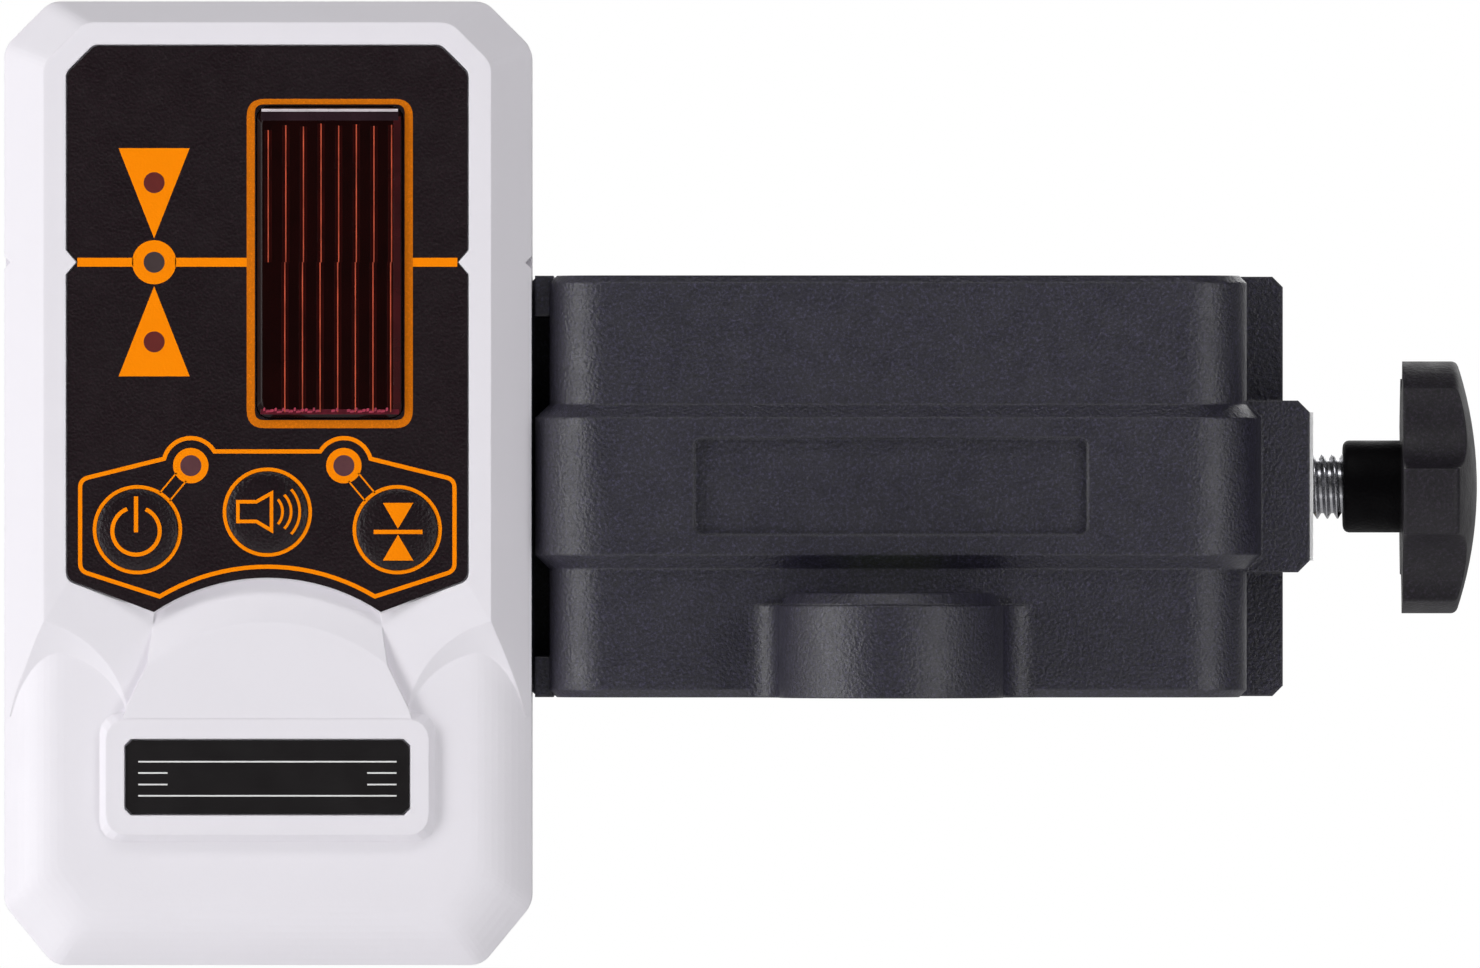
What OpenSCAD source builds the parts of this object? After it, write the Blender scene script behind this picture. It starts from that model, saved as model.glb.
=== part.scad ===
// Laser receiver held by a screw clamp for a levelling staff.
// X runs to the right, Y to the back and Z up.
// The origin is on the gripping face of the fixed jaw, on the axis of the clamp screw.

/* [Receiver housing] */
// Width of the receiver
receiver_w = 65; // [64:0.5:67]
// Height of the receiver
receiver_h = 118.8; // [118:0.2:121]
// Depth of each half of the housing
half_d = 14; // [14:0.25:15]
// Thickness of the housing walls
wall = 2.2; // [2:0.1:2.4]
// Corner chamfer at the top
top_chamfer = 5.7; // [5:0.1:6]
// Corner chamfer at the bottom, across
foot_chamfer_w = 6.1; // [5.5:0.1:6.5]
// Corner chamfer at the bottom, upwards
foot_chamfer_h = 7.4; // [7:0.1:8]
// Rounding of the outer corners
corner_r = 3; // [2.6:0.1:3.2]
// Width of the bevel along the sides
side_bevel = 4.95; // [4.5:0.05:5.2]
// Width of the bevel along the top
top_bevel = 2.65; // [2.4:0.05:2.9]
// Depth of the bevel
bevel_d = 5; // [4.8:0.1:5.2]
// Corner chamfer of the flat front face
plateau_chamfer = 5; // [4.6:0.1:5.4]
// Width of the soft edge of the lower face
soft_w = 7.4; // [7:0.1:7.8]
// Rise of the soft edge of the lower face
soft_d = 3.4; // [3.2:0.1:3.5]
// Chamfer of the rear edge
rear_bevel = 1.5; // [1.2:0.1:1.8]
// Depth of the pointer notches in the sides
notch_d = 0.75; // [0.6:0.05:0.9]
// Half height of the pointer notches in the sides
notch_h = 0.8; // [0.6:0.05:1]

/* [Lower front] */
// Radius of the cove beside the label frame
cove_r = 14.8; // [14.5:0.1:15.1]
// Centre of the cove, in from the side
cove_edge = 4.7; // [4.4:0.1:5]
// Tilt of the leg away from its fold
leg_tilt = 6; // [5:0.5:7]
// Lean of the fold over the leg
leg_turn = 32; // [28:1:36]
// Radius of the crest of the thumb ridge
ridge_r = 23.4; // [23:0.1:23.8]
// Width of the outer slope of the ridge
ridge_outer_w = 5.2; // [4.8:0.1:5.6]
// Width of the inner slope of the ridge
ridge_inner_w = 4.3; // [4:0.1:4.6]
// Drop of the inner slope of the ridge
ridge_inner_d = 0.1; // [0.05:0.05:0.2]
// Height of the ridge and of the label frame
relief_h = 1.2; // [1:0.1:1.3]
// Distance of the label frame from the sides
frame_margin = 11.8; // [11.5:0.1:12]
// Height of the label frame
frame_h = 15.9; // [15.5:0.1:16.2]
// Corner radius of the label frame
frame_r = 2.5; // [2:0.1:3]
// Slope of the frame's flanks
frame_draft = 0.8; // [0.6:0.05:1]
// Margin between the label and the outside of its frame, across
label_margin = 3.1; // [2.7:0.1:3.4]
// Margin between the label and the outside of its frame, upwards
label_margin_h = 3.25; // [3:0.05:3.4]
// Clipped corner of the label
label_clip = 0.8; // [0.5:0.1:1]
// Thickness of the label
label_t = 0.5; // [0.4:0.05:0.6]

/* [Front panel] */
// Distance of the panel from the sides
panel_margin = 7.7; // [7.5:0.1:8]
// Distance of the panel from the top
panel_top_margin = 5.4; // [5.2:0.1:5.8]
// Corner chamfer at the top of the panel
panel_chamfer = 3.4; // [3:0.1:3.8]
// Corner rounding of the panel
panel_r = 1.4; // [1.2:0.1:1.6]
// Radius of the arch in the panel's lower edge
arch_r = 25.1; // [24.8:0.1:25.4]
// Depth of the recess that holds the panel
recess_d = 0.8; // [0.7:0.05:0.9]
// Thickness of the panel
panel_t = 0.6; // [0.5:0.05:0.65]
// Reach of the pointers at the reference line
pointer_w = 1.3; // [1.1:0.05:1.5]
// Half height of the pointers
pointer_h = 1.5; // [1.3:0.05:1.7]
// Width of the sensor window
window_w = 17.9; // [17.5:0.1:18.2]
// Corner radius of the sensor window
window_r = 1.5; // [1.3:0.1:1.7]
// How far the window stands out of the housing
window_rise = 0.5; // [0.4:0.05:0.6]
// Chamfer around the window's front
window_edge = 0.6; // [0.5:0.05:0.7]
// Lip behind the window
window_lip = 1.6; // [1.4:0.1:1.8]
// Radius of a lamp
lamp_r = 1.5; // [1.45:0.05:1.5]
// Radius of the opening in front of a lamp
lamp_hole_r = 1.3; // [1.2:0.05:1.35]
// Radius of a key
key_r = 4.8; // [4.7:0.05:4.9]
// Height of a key's dome above the panel
key_rise = 0.7; // [0.6:0.05:0.8]
// Travel of a key
key_travel = 0.5; // [0.4:0.05:0.5]
// Radius of the stem under a key
key_stem_r = 1.8; // [1.6:0.1:2]
// Radius of the lip that holds a key in the housing
key_lip_r = 5.8; // [5.6:0.1:6]
// Thickness of the lip that holds a key in the housing
key_lip_t = 0.6; // [0.5:0.05:0.65]

/* [Electronics] */
// Gap between the circuit board and the side walls
board_gap = 3.3; // [3:0.1:3.6]
// Gap between the circuit board and the screw posts
post_gap = 0.7; // [0.6:0.05:0.8]
// Thickness of the circuit board
board_t = 1.6; // [1.5:0.1:1.7]
// Front face of the board, in front of the parting plane
board_front = 5; // [4.9:0.1:5.1]
// Edge distance of the board screws
board_screw_edge = 3; // [2.8:0.1:3.2]
// Radius of the board screws
board_screw_r = 1; // [0.9:0.05:1.1]
// Side of a key switch
switch_w = 6; // [5.8:0.1:6.2]
// Height of a key switch
switch_h = 3.5; // [3.4:0.1:3.5]
// Radius of a key switch's plunger
plunger_r = 1.6; // [1.5:0.1:1.7]
// Height of a key switch's plunger
plunger_h = 0.8; // [0.7:0.1:0.8]
// Distance of a sensor strip's end from the edge of the window
sensor_margin = 1; // [0.8:0.1:1.3]
// Depth of a sensor strip
sensor_d = 2.4; // [2.2:0.1:2.5]
// Number of ribs on a sensor strip
sensor_ribs = 8; // [7:1:8]
// Spacing of the ribs
rib_pitch = 2.17; // [2.1:0.01:2.2]
// Width of a rib
rib_w = 0.3; // [0.2:0.05:0.4]
// Radius of the buzzer
buzzer_r = 6; // [5.5:0.1:6.2]
// Height of the buzzer
buzzer_h = 6.5; // [6:0.1:6.8]
// Radius of the sound holes
sound_hole_r = 0.8; // [0.7:0.05:0.9]
// Spacing of the sound holes
sound_hole_pitch = 3; // [2.8:0.1:3.2]

/* [Battery bay] */
// Room at each end of a cell
cell_room = 1.6; // [1.5:0.05:1.8]
// Radius of a cell
cell_r = 7.25; // [7:0.05:7.25]
// Length of the nub
nub_l = 1; // [0.9:0.1:1.1]
// Radius of the nub
nub_r = 2.7; // [2.5:0.1:2.8]
// Gap between the bay and the side walls
bay_gap = 1.95; // [1.8:0.05:2.1]
// Gap around each cell, upwards
cell_gap = 0.35; // [0.3:0.01:0.4]
// Wall of the bay
bay_wall = 1.5; // [1.3:0.1:1.5]
// Gap between the cells and the cover
cover_gap = 0.65; // [0.5:0.05:0.75]
// Thickness of the contact plates
contact_t = 0.4; // [0.3:0.05:0.4]
// Width of the contact plates
contact_w = 10; // [9:0.5:11]
// Radius of the cover's hinge pin
pin_r = 0.8; // [0.75:0.05:0.8]
// Radius of the cover's knuckle
knuckle_r = 1.4; // [1.35:0.05:1.4]
// Width of the finger notch
finger_w = 14; // [12:0.5:16]
// Radius of the finger notch
finger_r = 2.2; // [2:0.1:2.4]

/* [Fasteners] */
// Radius of the housing screws
screw_r = 1.5; // [1.4:0.05:1.5]
// Radius of a housing screw's head
screw_head_r = 2.75; // [2.6:0.05:2.8]
// Height of a housing screw's head
screw_head_h = 2; // [1.8:0.1:2.2]
// Depth of the counterbore over a housing screw
counterbore_d = 4; // [3.5:0.1:4.2]
// Radius of the posts in the front half
post_r = 3.2; // [3.1:0.05:3.2]
// Radius of the posts in the rear half
rear_post_r = 4; // [3.9:0.05:4]
// Distance of the upper housing screws from the sides
upper_screw_edge = 8; // [7.8:0.1:8.2]
// Distance of the upper housing screws from the top
upper_screw_top = 8.4; // [8.2:0.1:8.6]
// Distance of the lower housing screws from the sides
lower_screw_edge = 6; // [5.8:0.1:6.2]
// Gap between the bay and the posts of the lower screws
bay_post_gap = 0.3; // [0.25:0.05:0.35]
// Radius of the thumb screw's thread, quarter inch
thumb_r = 3.175; // [3.1:0.005:3.2]
// Reach of the thumb screw into the insert
thumb_reach = 6.5; // [6:0.1:7]
// Radius of the thumb screw's head
thumb_head_r = 9; // [8.5:0.1:9.5]
// Height of the thumb screw's head
thumb_head_h = 6; // [5:0.1:7]
// Number of grooves in the thumb screw's head
thumb_grooves = 18; // [12:1:24]
// Radius of a groove in the thumb screw's head
thumb_groove_r = 0.7; // [0.5:0.05:0.8]
// Radius of the thumb screw's washer
washer_r = 7.5; // [7:0.1:8]
// Thickness of the thumb screw's washer
washer_t = 1; // [0.8:0.1:1.2]
// Radius of the brass insert
insert_r = 4.5; // [4.2:0.1:4.8]
// Length of the brass insert
insert_l = 8; // [7.5:0.1:8.5]
// Radius of the boss around the insert
insert_boss_r = 6.5; // [6:0.1:7]

/* [Clamp frame] */
// Outer width of the clamp's C
clamp_w = 86; // [85:0.5:87]
// Height of the clamp
clamp_h = 52; // [51:0.5:53]
// Depth of the clamp
clamp_d = 32; // [31:0.5:33]
// Thickness of the front panel
clamp_wall = 4; // [3.5:0.1:4.2]
// Thickness of the jaw walls
jaw_wall = 5; // [4.7:0.1:5.1]
// Radius of the front corners
clamp_r = 7.5; // [7:0.1:8]
// Chamfer along the upper and lower edges of the clamp
clamp_edge = 0.9; // [0.7:0.1:1.1]
// Distance of the screw axis from the front of the C
screw_depth = 18; // [17.5:0.1:18.5]
// Reach of the right flange
flange_w = 4.8; // [4.6:0.1:5]
// Reach of the left flange
left_flange_w = 3; // [2.8:0.1:3.2]
// Thickness of the flanges and of the arm
flange_t = 5; // [4.5:0.1:5.5]
// Chamfer at the flange corners
flange_chamfer = 1.3; // [1.1:0.1:1.6]
// Height of the ribs beside the receiver
rib_h = 5; // [4.5:0.1:5.5]
// Reach of the ribs beside the receiver
rib_reach = 1.8; // [1.6:0.1:1.9]
// Rise of the raised band
band_rise = 1.8; // [1.6:0.1:1.9]
// Bevel of the raised band
band_bevel = 1.7; // [1.5:0.1:2]
// Height of the sunk field
field_h = 11.9; // [11.5:0.1:12.2]
// Depth of the sunk field
field_d = 1.1; // [0.9:0.05:1.3]
// Corner radius of the sunk field
field_r = 1; // [0.8:0.1:1.2]
// Height of the nut boss
boss_h = 21.2; // [21:0.1:21.4]
// Reach of the nut boss beyond the jaw wall
boss_reach = 7.8; // [7.7:0.1:7.9]
// Chamfer at the end of the nut boss
boss_chamfer = 1.45; // [1.3:0.05:1.6]
// Width of the arm behind the receiver
arm_h = 26; // [24:0.5:27]
// Radius of the locating pegs
peg_r = 2; // [1.8:0.1:2.2]
// Length of the locating pegs
peg_l = 1.5; // [1.3:0.1:1.5]
// Distance of the locating pegs from the thumb screw
peg_pitch = 9.5; // [9:0.1:10]
// Gap between the receiver and the clamp's wall
side_gap = 2.2; // [2.1:0.05:2.4]
// Height of the receiver's middle over the screw axis
receiver_lift = 0.4; // [0:0.1:1]

/* [Circular level] */
// Radius of the level's boss
level_r = 13.75; // [13.5:0.05:14]
// Centre of the boss in front of the panel
level_offset = 5.5; // [5.4:0.1:6]
// Top of the bezel above the foot of the clamp
level_h = 12.9; // [12.7:0.1:13]
// Width of the flare on each side of the boss
flare_w = 3.8; // [3.5:0.1:4]
// Height of the bezel
bezel_h = 1.5; // [1.4:0.1:1.6]
// Taper of the bezel's side
bezel_taper = 0.9; // [0.7:0.1:1.1]
// Inner radius of the bezel
bezel_r = 7.5; // [7.2:0.1:7.8]
// Radius of the vial
vial_r = 8.5; // [8.2:0.1:8.5]
// Height of the vial
vial_h = 8.8; // [8.5:0.1:9]

/* [Clamp screw] */
// Radius of the clamp screw, metric 8
stud_r = 4; // [3.9:0.05:4]
// Radius of the journal in the jaw
journal_r = 3; // [2.9:0.05:3]
// Radius at the clip's groove
neck_r = 2.3; // [2.2:0.05:2.4]
// Thickness of the clip
clip_t = 0.8; // [0.7:0.05:0.8]
// Outer radius of the clip
clip_r = 5; // [4.8:0.1:5.1]
// Nut, across its flats
nut_w = 13; // [12.8:0.1:13]
// Length of the nut
nut_l = 7; // [6.5:0.1:7.5]
// Thickness of the plate over the nut
plate_t = 0.45; // [0.4:0.05:0.6]
// Radius of the plate's screws
plate_screw_r = 1.1; // [1:0.05:1.2]
// Length of the plate's screws
plate_screw_l = 5; // [4.5:0.1:5.5]
// Distance of the plate's screws from the stud, each way
plate_screw_pitch = 7.3; // [7.2:0.05:7.4]
// Free stretch of the screw in front of the plate
free_thread = 3.8; // [3.6:0.1:4]
// Radius of the knob's hub
hub_r = 5.7; // [5.5:0.1:5.9]
// Length of the knob's hub
hub_l = 7.3; // [7:0.1:7.6]
// Rounding of the hub's end
hub_round = 0.8; // [0.6:0.1:1]
// Rounding of the knob's rim
rim_round = 0.9; // [0.7:0.1:1]
// Radius of the knob
knob_r = 15.7; // [15.5:0.1:16]
// Height of the knob's rim
knob_rim = 6.7; // [6.5:0.1:7]
// Height of the knob's dome
knob_dome = 2.6; // [2.4:0.1:2.8]
// Number of lobes
knob_lobes = 5; // [4:1:6]
// Radius at the bottom of the valleys
valley_r = 11.9; // [11.6:0.1:12.2]
// Radius of the valleys
valley_round = 7.1; // [6.8:0.1:7.2]
// Angle by which the nearest lobe points down
lobe_angle = 7; // [0:1:20]
// Depth of the knob on the stud
knob_grip = 11; // [10:0.5:12]

/* [Jaws] */
// Thickness of the rubber pads
pad_t = 2; // [1.8:0.1:2.2]
// Distance of the rubber pads from the back of the clamp
pad_inset = 2; // [1.8:0.1:2.5]
// Distance of the rubber pads from the top and foot of the clamp
pad_margin = 6; // [5.5:0.1:6.5]
// Corner radius of the rubber pads
pad_r = 2; // [1.5:0.1:2.5]
// Opening between the pads as photographed
staff_gap = 28.7; // [28:0.1:30]
// Thickness of the pressure jaw
jaw_t = 8; // [7.5:0.1:8.5]
// Distance of the pressure jaw from the top and foot of the clamp
jaw_margin = 5; // [4.5:0.1:5.5]
// Chamfer of the pressure jaw's edges
jaw_chamfer = 1.5; // [1.2:0.1:1.8]
// Thickness of the jaw behind the clip
jaw_back = 3; // [2.8:0.1:3.2]
// Radius of the clip's chamber
chamber_r = 5.6; // [5.4:0.1:5.8]

/* [Clearances] */
// Gap around pieces that are fitted in a recess
fit_gap = 0.15; // [0.1:0.01:0.2]
// Radial gap of a screw or pin that turns
run_gap = 0.03; // [0.02:0.01:0.05]
// Gap beside pieces that slide or swing
slide_gap = 0.25; // [0.2:0.01:0.3]
// How far cutters reach past a face
overrun = 1; // [0.5:0.1:1.2]
// Depth by which joined forms run into each other
bond = 0.5; // [0.4:0.1:0.6]

/* [Hidden] */
$fn = 64;
corner_steps = 4;
arc_steps = 10;
soft_steps = 9;
chamfer_share = 0.58;
cove_share = 2.3;
bezel_share = 0.985;

// Places across the panel as shares of its width
panel_tip_share = 0.28;
leg_knee_share = 0.298;
leg_tip_share = 0.349;
window_share = 0.155;
lamp_share = 0.281;
status_share = 0.19;
key_share = 0.3225;
buzzer_share = 0.3;

// Places above and under the middle as shares of the receiver's height
zero_share = 0.229;
window_h_share = 0.3225;
lamp_pitch_share = 0.0825;
status_z_share = 0.0182;
buzzer_z_share = 0.253;
middle_key_share = 0.03;
outer_key_share = 0.0482;
arch_share = 0.0993;
panel_corner_share = 0.101;
leg_knee_drop_share = 0.188;
leg_tip_drop_share = 0.2315;
cove_drop_share = 0.2677;
bay_drop_share = 0.2946;
frame_drop_share = 0.3047;
ridge_drop_share = 0.341;

// Sizes of the clamp's front as shares of its own
band_share = 0.39;
field_w_share = 0.5635;
field_x_share = 0.4895;

white_shell = [0.89, 0.88, 0.90];
black_film = [0.14, 0.12, 0.13];
black_plastic = [0.21, 0.21, 0.24];

// Clamp faces along X, from the fixed jaw outwards
jaw_wall_in = -pad_t;
clamp_left = jaw_wall_in - jaw_wall;
clamp_right = clamp_left + clamp_w;
clamp_right_in = clamp_right - jaw_wall;
boss_end = clamp_right + boss_reach;
plate_end = boss_end + plate_t;
hub_start = plate_end + free_thread;
knob_start = hub_start + hub_l;
knob_end = knob_start + knob_rim + knob_dome;

// Clamp faces along Y
clamp_front = -screw_depth;
clamp_front_in = clamp_front + clamp_wall;
clamp_back = clamp_front + clamp_d;
arm_front = clamp_back - flange_t;

// Front of the clamp and its jaws
band_h = clamp_h * band_share;
field_w = clamp_w * field_w_share;
field_x = clamp_left + clamp_w * field_x_share;
level_drop = clamp_h / 2 - level_h;
pad_d = 2 * (clamp_back - pad_inset);
pad_h = clamp_h - 2 * pad_margin;
jaw_h = clamp_h - 2 * jaw_margin;

// Middle of the receiver at its parting plane
receiver_at = [clamp_left - side_gap - receiver_w / 2, arm_front - half_d, receiver_lift];

// Faces of the receiver in front of the parting plane
side_front = half_d - bevel_d;
soft_front = side_front + soft_d;
relief_front = soft_front + relief_h;
recess_floor = half_d - recess_d;
panel_front = recess_floor + panel_t;
shell_front = recess_floor - wall;
window_back = shell_front - window_edge * 2;
top_z = receiver_h / 2;
foot_z = -receiver_h / 2;

// Front panel
panel_w = receiver_w - 2 * panel_margin;
panel_top = top_z - panel_top_margin;
panel_corner_drop = receiver_h * panel_corner_share;
panel_tip_x = panel_w * panel_tip_share;
arch_drop = receiver_h * arch_share;
zero_z = receiver_h * zero_share;
window_x = panel_w * window_share;
window_h = receiver_h * window_h_share;
lamp_x = panel_w * lamp_share;
lamp_pitch = receiver_h * lamp_pitch_share;
status_x = panel_w * status_share;
status_z = receiver_h * status_z_share;
key_x = panel_w * key_share;
key_drop = receiver_h * outer_key_share;
hollow_drop = key_drop + key_lip_r + 2 * slide_gap;
middle_key_drop = receiver_h * middle_key_share;

// Lower front
cove_x = receiver_w / 2 - cove_edge;
cove_drop = receiver_h * cove_drop_share;
leg_tip_x = panel_w * leg_tip_share;
leg_tip_drop = receiver_h * leg_tip_drop_share;
leg_knee_x = panel_w * leg_knee_share;
leg_knee_drop = receiver_h * leg_knee_drop_share;
ridge_drop = receiver_h * ridge_drop_share;
frame_drop = receiver_h * frame_drop_share;
frame_w = receiver_w - 2 * frame_margin;
label_w = frame_w - 2 * label_margin;
label_h = frame_h - 2 * label_margin_h;
frame_top_drop = frame_drop - frame_h / 2;

// Pieces behind the parting plane
rear_in = half_d - wall;
bay_w = receiver_w - 2 * (wall + bay_gap + bay_wall);
bay_h = 4 * (cell_r + cell_gap);
bay_drop = receiver_h * bay_drop_share;
cell_l = bay_w - 2 * cell_room;
cell_y = rear_in - cover_gap - cell_r;
bay_floor = cell_y - cell_r - fit_gap;
hinge_y = half_d - knuckle_r;
hinge_z = -bay_drop - bay_h / 2 + slide_gap + knuckle_r;

// Tip of the panel and angle at which its arch ends
arch_z = -arch_drop - arch_r;
arch_end = acos(panel_tip_x / arch_r);
panel_tip_z = arch_z + arch_r * sin(arch_end);

// Lamps and keys in the panel's plane
indicator_spots = [for (k = [1, 0, -1]) [-lamp_x, zero_z + k * lamp_pitch]];
status_spots = [[-status_x, status_z], [status_x, status_z]];
lamp_spots = concat(indicator_spots, status_spots);
key_spots = [[-key_x, -key_drop], [0, -middle_key_drop], [key_x, -key_drop]];

// Screws and board of the receiver
upper_screw_x = receiver_w / 2 - upper_screw_edge;
upper_screw_z = top_z - upper_screw_top;
lower_screw_x = receiver_w / 2 - lower_screw_edge;
lower_screw_drop = bay_drop - bay_h / 2 - bay_wall - bay_post_gap - rear_post_r;
board_w = receiver_w - 2 * (wall + board_gap);
board_top = upper_screw_z - post_r - post_gap;
board_drop = lower_screw_drop - post_r - post_gap;
sensor_h = window_h / 2 - sensor_margin;
buzzer_x = panel_w * buzzer_share;
buzzer_z = receiver_h * buzzer_z_share;
housing_spots = [
  for (side = [-1, 1])
    each [[side * upper_screw_x, upper_screw_z], [side * lower_screw_x, -lower_screw_drop]]
];
board_spots = [
  for (side = [-1, 1])
    each [
      [side * (board_w / 2 - board_screw_edge), board_top - board_screw_edge],
      [side * (board_w / 2 - board_screw_edge), status_z]
    ]
];

// Pressure jaw along X
jaw_front = staff_gap + pad_t;
jaw_rear = jaw_front + jaw_t;
chamber_end = jaw_rear - jaw_back;
clip_at = chamber_end - fit_gap - clip_t;
stud_shoulder = jaw_rear + fit_gap;

function unit(v) = v / norm(v);

// Points of a round that replaces corner b between its neighbours a and c.
function corner(a, b, c, r) =
  let (
    u = unit(a - b),
    v = unit(c - b),
    half = acos(u * v) / 2,
    centre = b + unit(u + v) * r / sin(half),
    start = b + u * r / tan(half) - centre,
    first = atan2(start.y, start.x),
    sweep = -sign(cross(u, v)) * (180 - 2 * half)
  )
  [for (k = [0:corner_steps])
    centre + r * [cos(first + sweep * k / corner_steps), sin(first + sweep * k / corner_steps)]];

function softened(points, r) =
  let (n = len(points))
  [for (i = [0:n - 1]) each corner(points[(i + n - 1) % n], points[i], points[(i + 1) % n], r)];

function box_points(w, h) = [[-w / 2, -h / 2], [w / 2, -h / 2], [w / 2, h / 2], [-w / 2, h / 2]];

function arc(centre, r, first, last) =
  [for (k = [0:arc_steps])
    centre + r * [cos(first + (last - first) * k / arc_steps), sin(first + (last - first) * k / arc_steps)]];

// Outline of the receiver, moved inwards by an inset.
function body_outline(inset) =
  let (
    half = receiver_w / 2 - inset,
    low = foot_z + inset,
    high = top_z - inset,
    lw = foot_chamfer_w - inset * chamfer_share,
    lh = foot_chamfer_h - inset * chamfer_share,
    t = top_chamfer - inset * chamfer_share
  )
  softened([
    [-half + lw, low], [half - lw, low], [half, low + lh], [half, high - t],
    [half - t, high], [-half + t, high], [-half, high - t], [-half, low + lh]
  ], corner_r - inset * chamfer_share / 2);

// Lower face at one step of its soft edge; its top is straight and hidden in the upper block.
function soft_outline(inset) =
  let (
    half = receiver_w / 2 - inset,
    low = foot_z + inset,
    lw = foot_chamfer_w - inset * chamfer_share / 2,
    lh = foot_chamfer_h - inset * chamfer_share / 2,
    a = [-half + lw, low],
    b = [half - lw, low],
    c = [half, low + lh],
    d = [-half, low + lh],
    e = [half, -arch_drop],
    f = [-half, -arch_drop]
  )
  concat(corner(d, a, b, corner_r), corner(a, b, c, corner_r), corner(b, c, e, corner_r), [e, f],
    corner(f, d, a, corner_r));

// Upper block; spread runs from zero on the flat face to one at the foot of the bevel.
function block_outline(spread) =
  let (
    x = receiver_w / 2 - side_bevel * (1 - spread),
    top = top_z - top_bevel * (1 - spread),
    t = plateau_chamfer + (top_chamfer - plateau_chamfer) * spread,
    low = [x, -frame_top_drop - bond]
  )
  mirrored(concat(
    [low],
    corner(low, [x, top - t], [x - t, top], corner_r),
    corner([x, top - t], [x - t, top], [0, top], corner_r)
  ));

// Right half of the panel above its lower tip, moved inwards by a gap.
function panel_side(gap) =
  let (
    x = panel_w / 2 - gap,
    top = panel_top - gap,
    tip = [panel_tip_x, panel_tip_z + gap],
    low = [x, -panel_corner_drop + gap]
  )
  concat(
    corner(tip, low, [x, zero_z], panel_r),
    [[x, zero_z - pointer_h], [x - pointer_w, zero_z], [x, zero_z + pointer_h]],
    corner([x, zero_z], [x, top - panel_chamfer], [x - panel_chamfer, top], panel_r),
    corner([x, top - panel_chamfer], [x - panel_chamfer, top], [0, top], panel_r)
  );

// Closed outline from its right half; the first point may lie on the middle line.
function mirrored(half) =
  let (n = len(half), last = half[0].x > 0 ? 0 : 1)
  concat(half, [for (k = [n - 1:-1:last]) [-half[k].x, half[k].y]]);

function panel_outline(gap) =
  mirrored(concat(arc([0, arch_z], arch_r + gap, 90, arch_end), panel_side(gap)));

// Recess for the panel, open below the arch.
function recess_outline() =
  mirrored(concat([[panel_tip_x, panel_tip_z - bond], [panel_tip_x, panel_tip_z]], panel_side(0)));

function ring(outline, y) = [for (p = outline) [p.x, y, p.y]];

// Skin over rings with equal counts, given from the back to the front.
module loft(rings) {
  n = len(rings[0]);
  m = len(rings);
  faces = concat(
    [[for (i = [0:n - 1]) i]],
    [for (k = [0:m - 2]) for (i = [0:n - 1])
      each [
        [k * n + i, (k + 1) * n + (i + 1) % n, k * n + (i + 1) % n],
        [k * n + i, (k + 1) * n + i, (k + 1) * n + (i + 1) % n]
      ]],
    [[for (i = [n - 1:-1:0]) (m - 1) * n + i]]
  );
  polyhedron([for (r = rings) each r], faces);
}

module at_receiver() {
  translate(receiver_at) children();
}

// Drawing in the XZ plane, thickened from y0 back to y1.
module slab(y0, y1) {
  translate([0, y1, 0]) rotate([90, 0, 0]) linear_extrude(y1 - y0) children();
}

// Round bar along Y at a spot of the XZ plane.
module bar(spot, r, y0, y1) {
  translate([spot.x, y1, spot.y]) rotate([90, 0, 0]) cylinder(r = r, h = y1 - y0);
}

// Round bar along X.
module rod(r, x0, x1) {
  translate([x0, 0, 0]) rotate([0, 90, 0]) cylinder(r = r, h = x1 - x0);
}

// Block between two opposite corners.
module block(low, high) {
  translate(low) cube(high - low);
}

module window_shape(grow) {
  translate([window_x, zero_z])
    polygon(softened(box_points(window_w + 2 * grow, window_h + 2 * grow), window_r + grow));
}

module label_shape(gap) {
  w = label_w / 2 - gap;
  h = label_h / 2 - gap;
  translate([0, -frame_drop])
    polygon([
      [-w + label_clip, -h], [w - label_clip, -h], [w, -h + label_clip], [w, h - label_clip],
      [w - label_clip, h], [-w + label_clip, h], [-w, h - label_clip], [-w, -h + label_clip]
    ]);
}

// Cone that hollows the flank of a leg; side is one on the right.
module cove(side) {
  translate([side * cove_x, -side_front + overrun, -cove_drop]) rotate([90, 0, 0])
    cylinder(
      r1 = cove_r - (bevel_d + overrun) * cove_share,
      r2 = cove_r + overrun * cove_share,
      h = bevel_d + 2 * overrun
    );
}

// Space in front of the left leg, which slopes down from a leaning fold beside the panel.
module leg_slope() {
  difference() {
    intersection() {
      translate([side_bevel - receiver_w / 2, -half_d, -cove_drop + cove_r])
        rotate([0, leg_turn, 0]) rotate([0, 0, leg_tilt])
          translate([-receiver_w, -half_d, -receiver_h])
            cube([2 * receiver_w, half_d, 2 * receiver_h]);
      block([-receiver_w, -2 * half_d, -receiver_h], [0, 0, 0]);
    }
    slab(-2 * half_d, 0) polygon(panel_outline(0));
  }
}

// Upper block with its bevels, its two legs and the recess for the panel.
module upper_block() {
  gap = concat(
    arc([0, arch_z], arch_r, 90, arch_end),
    [[leg_knee_x, -leg_knee_drop], [leg_tip_x, -leg_tip_drop], [leg_tip_x, -leg_tip_drop - overrun]]
  );
  difference() {
    loft([ring(block_outline(1), -side_front), ring(block_outline(0), -half_d)]);
    slab(-half_d - overrun, -side_front + overrun) polygon(mirrored(gap));
    slab(-half_d - overrun, -recess_floor) polygon(recess_outline());
    for (side = [-1, 1]) cove(side);
    leg_slope();
    mirror([1, 0, 0]) leg_slope();
  }
}

// Lower face with its soft edge.
module soft_face() {
  loft([for (k = [0:soft_steps])
    let (t = k / soft_steps)
    ring(soft_outline(soft_w * t), -side_front - soft_d * (1 - pow(1 - t, 2)))]);
}

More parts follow.
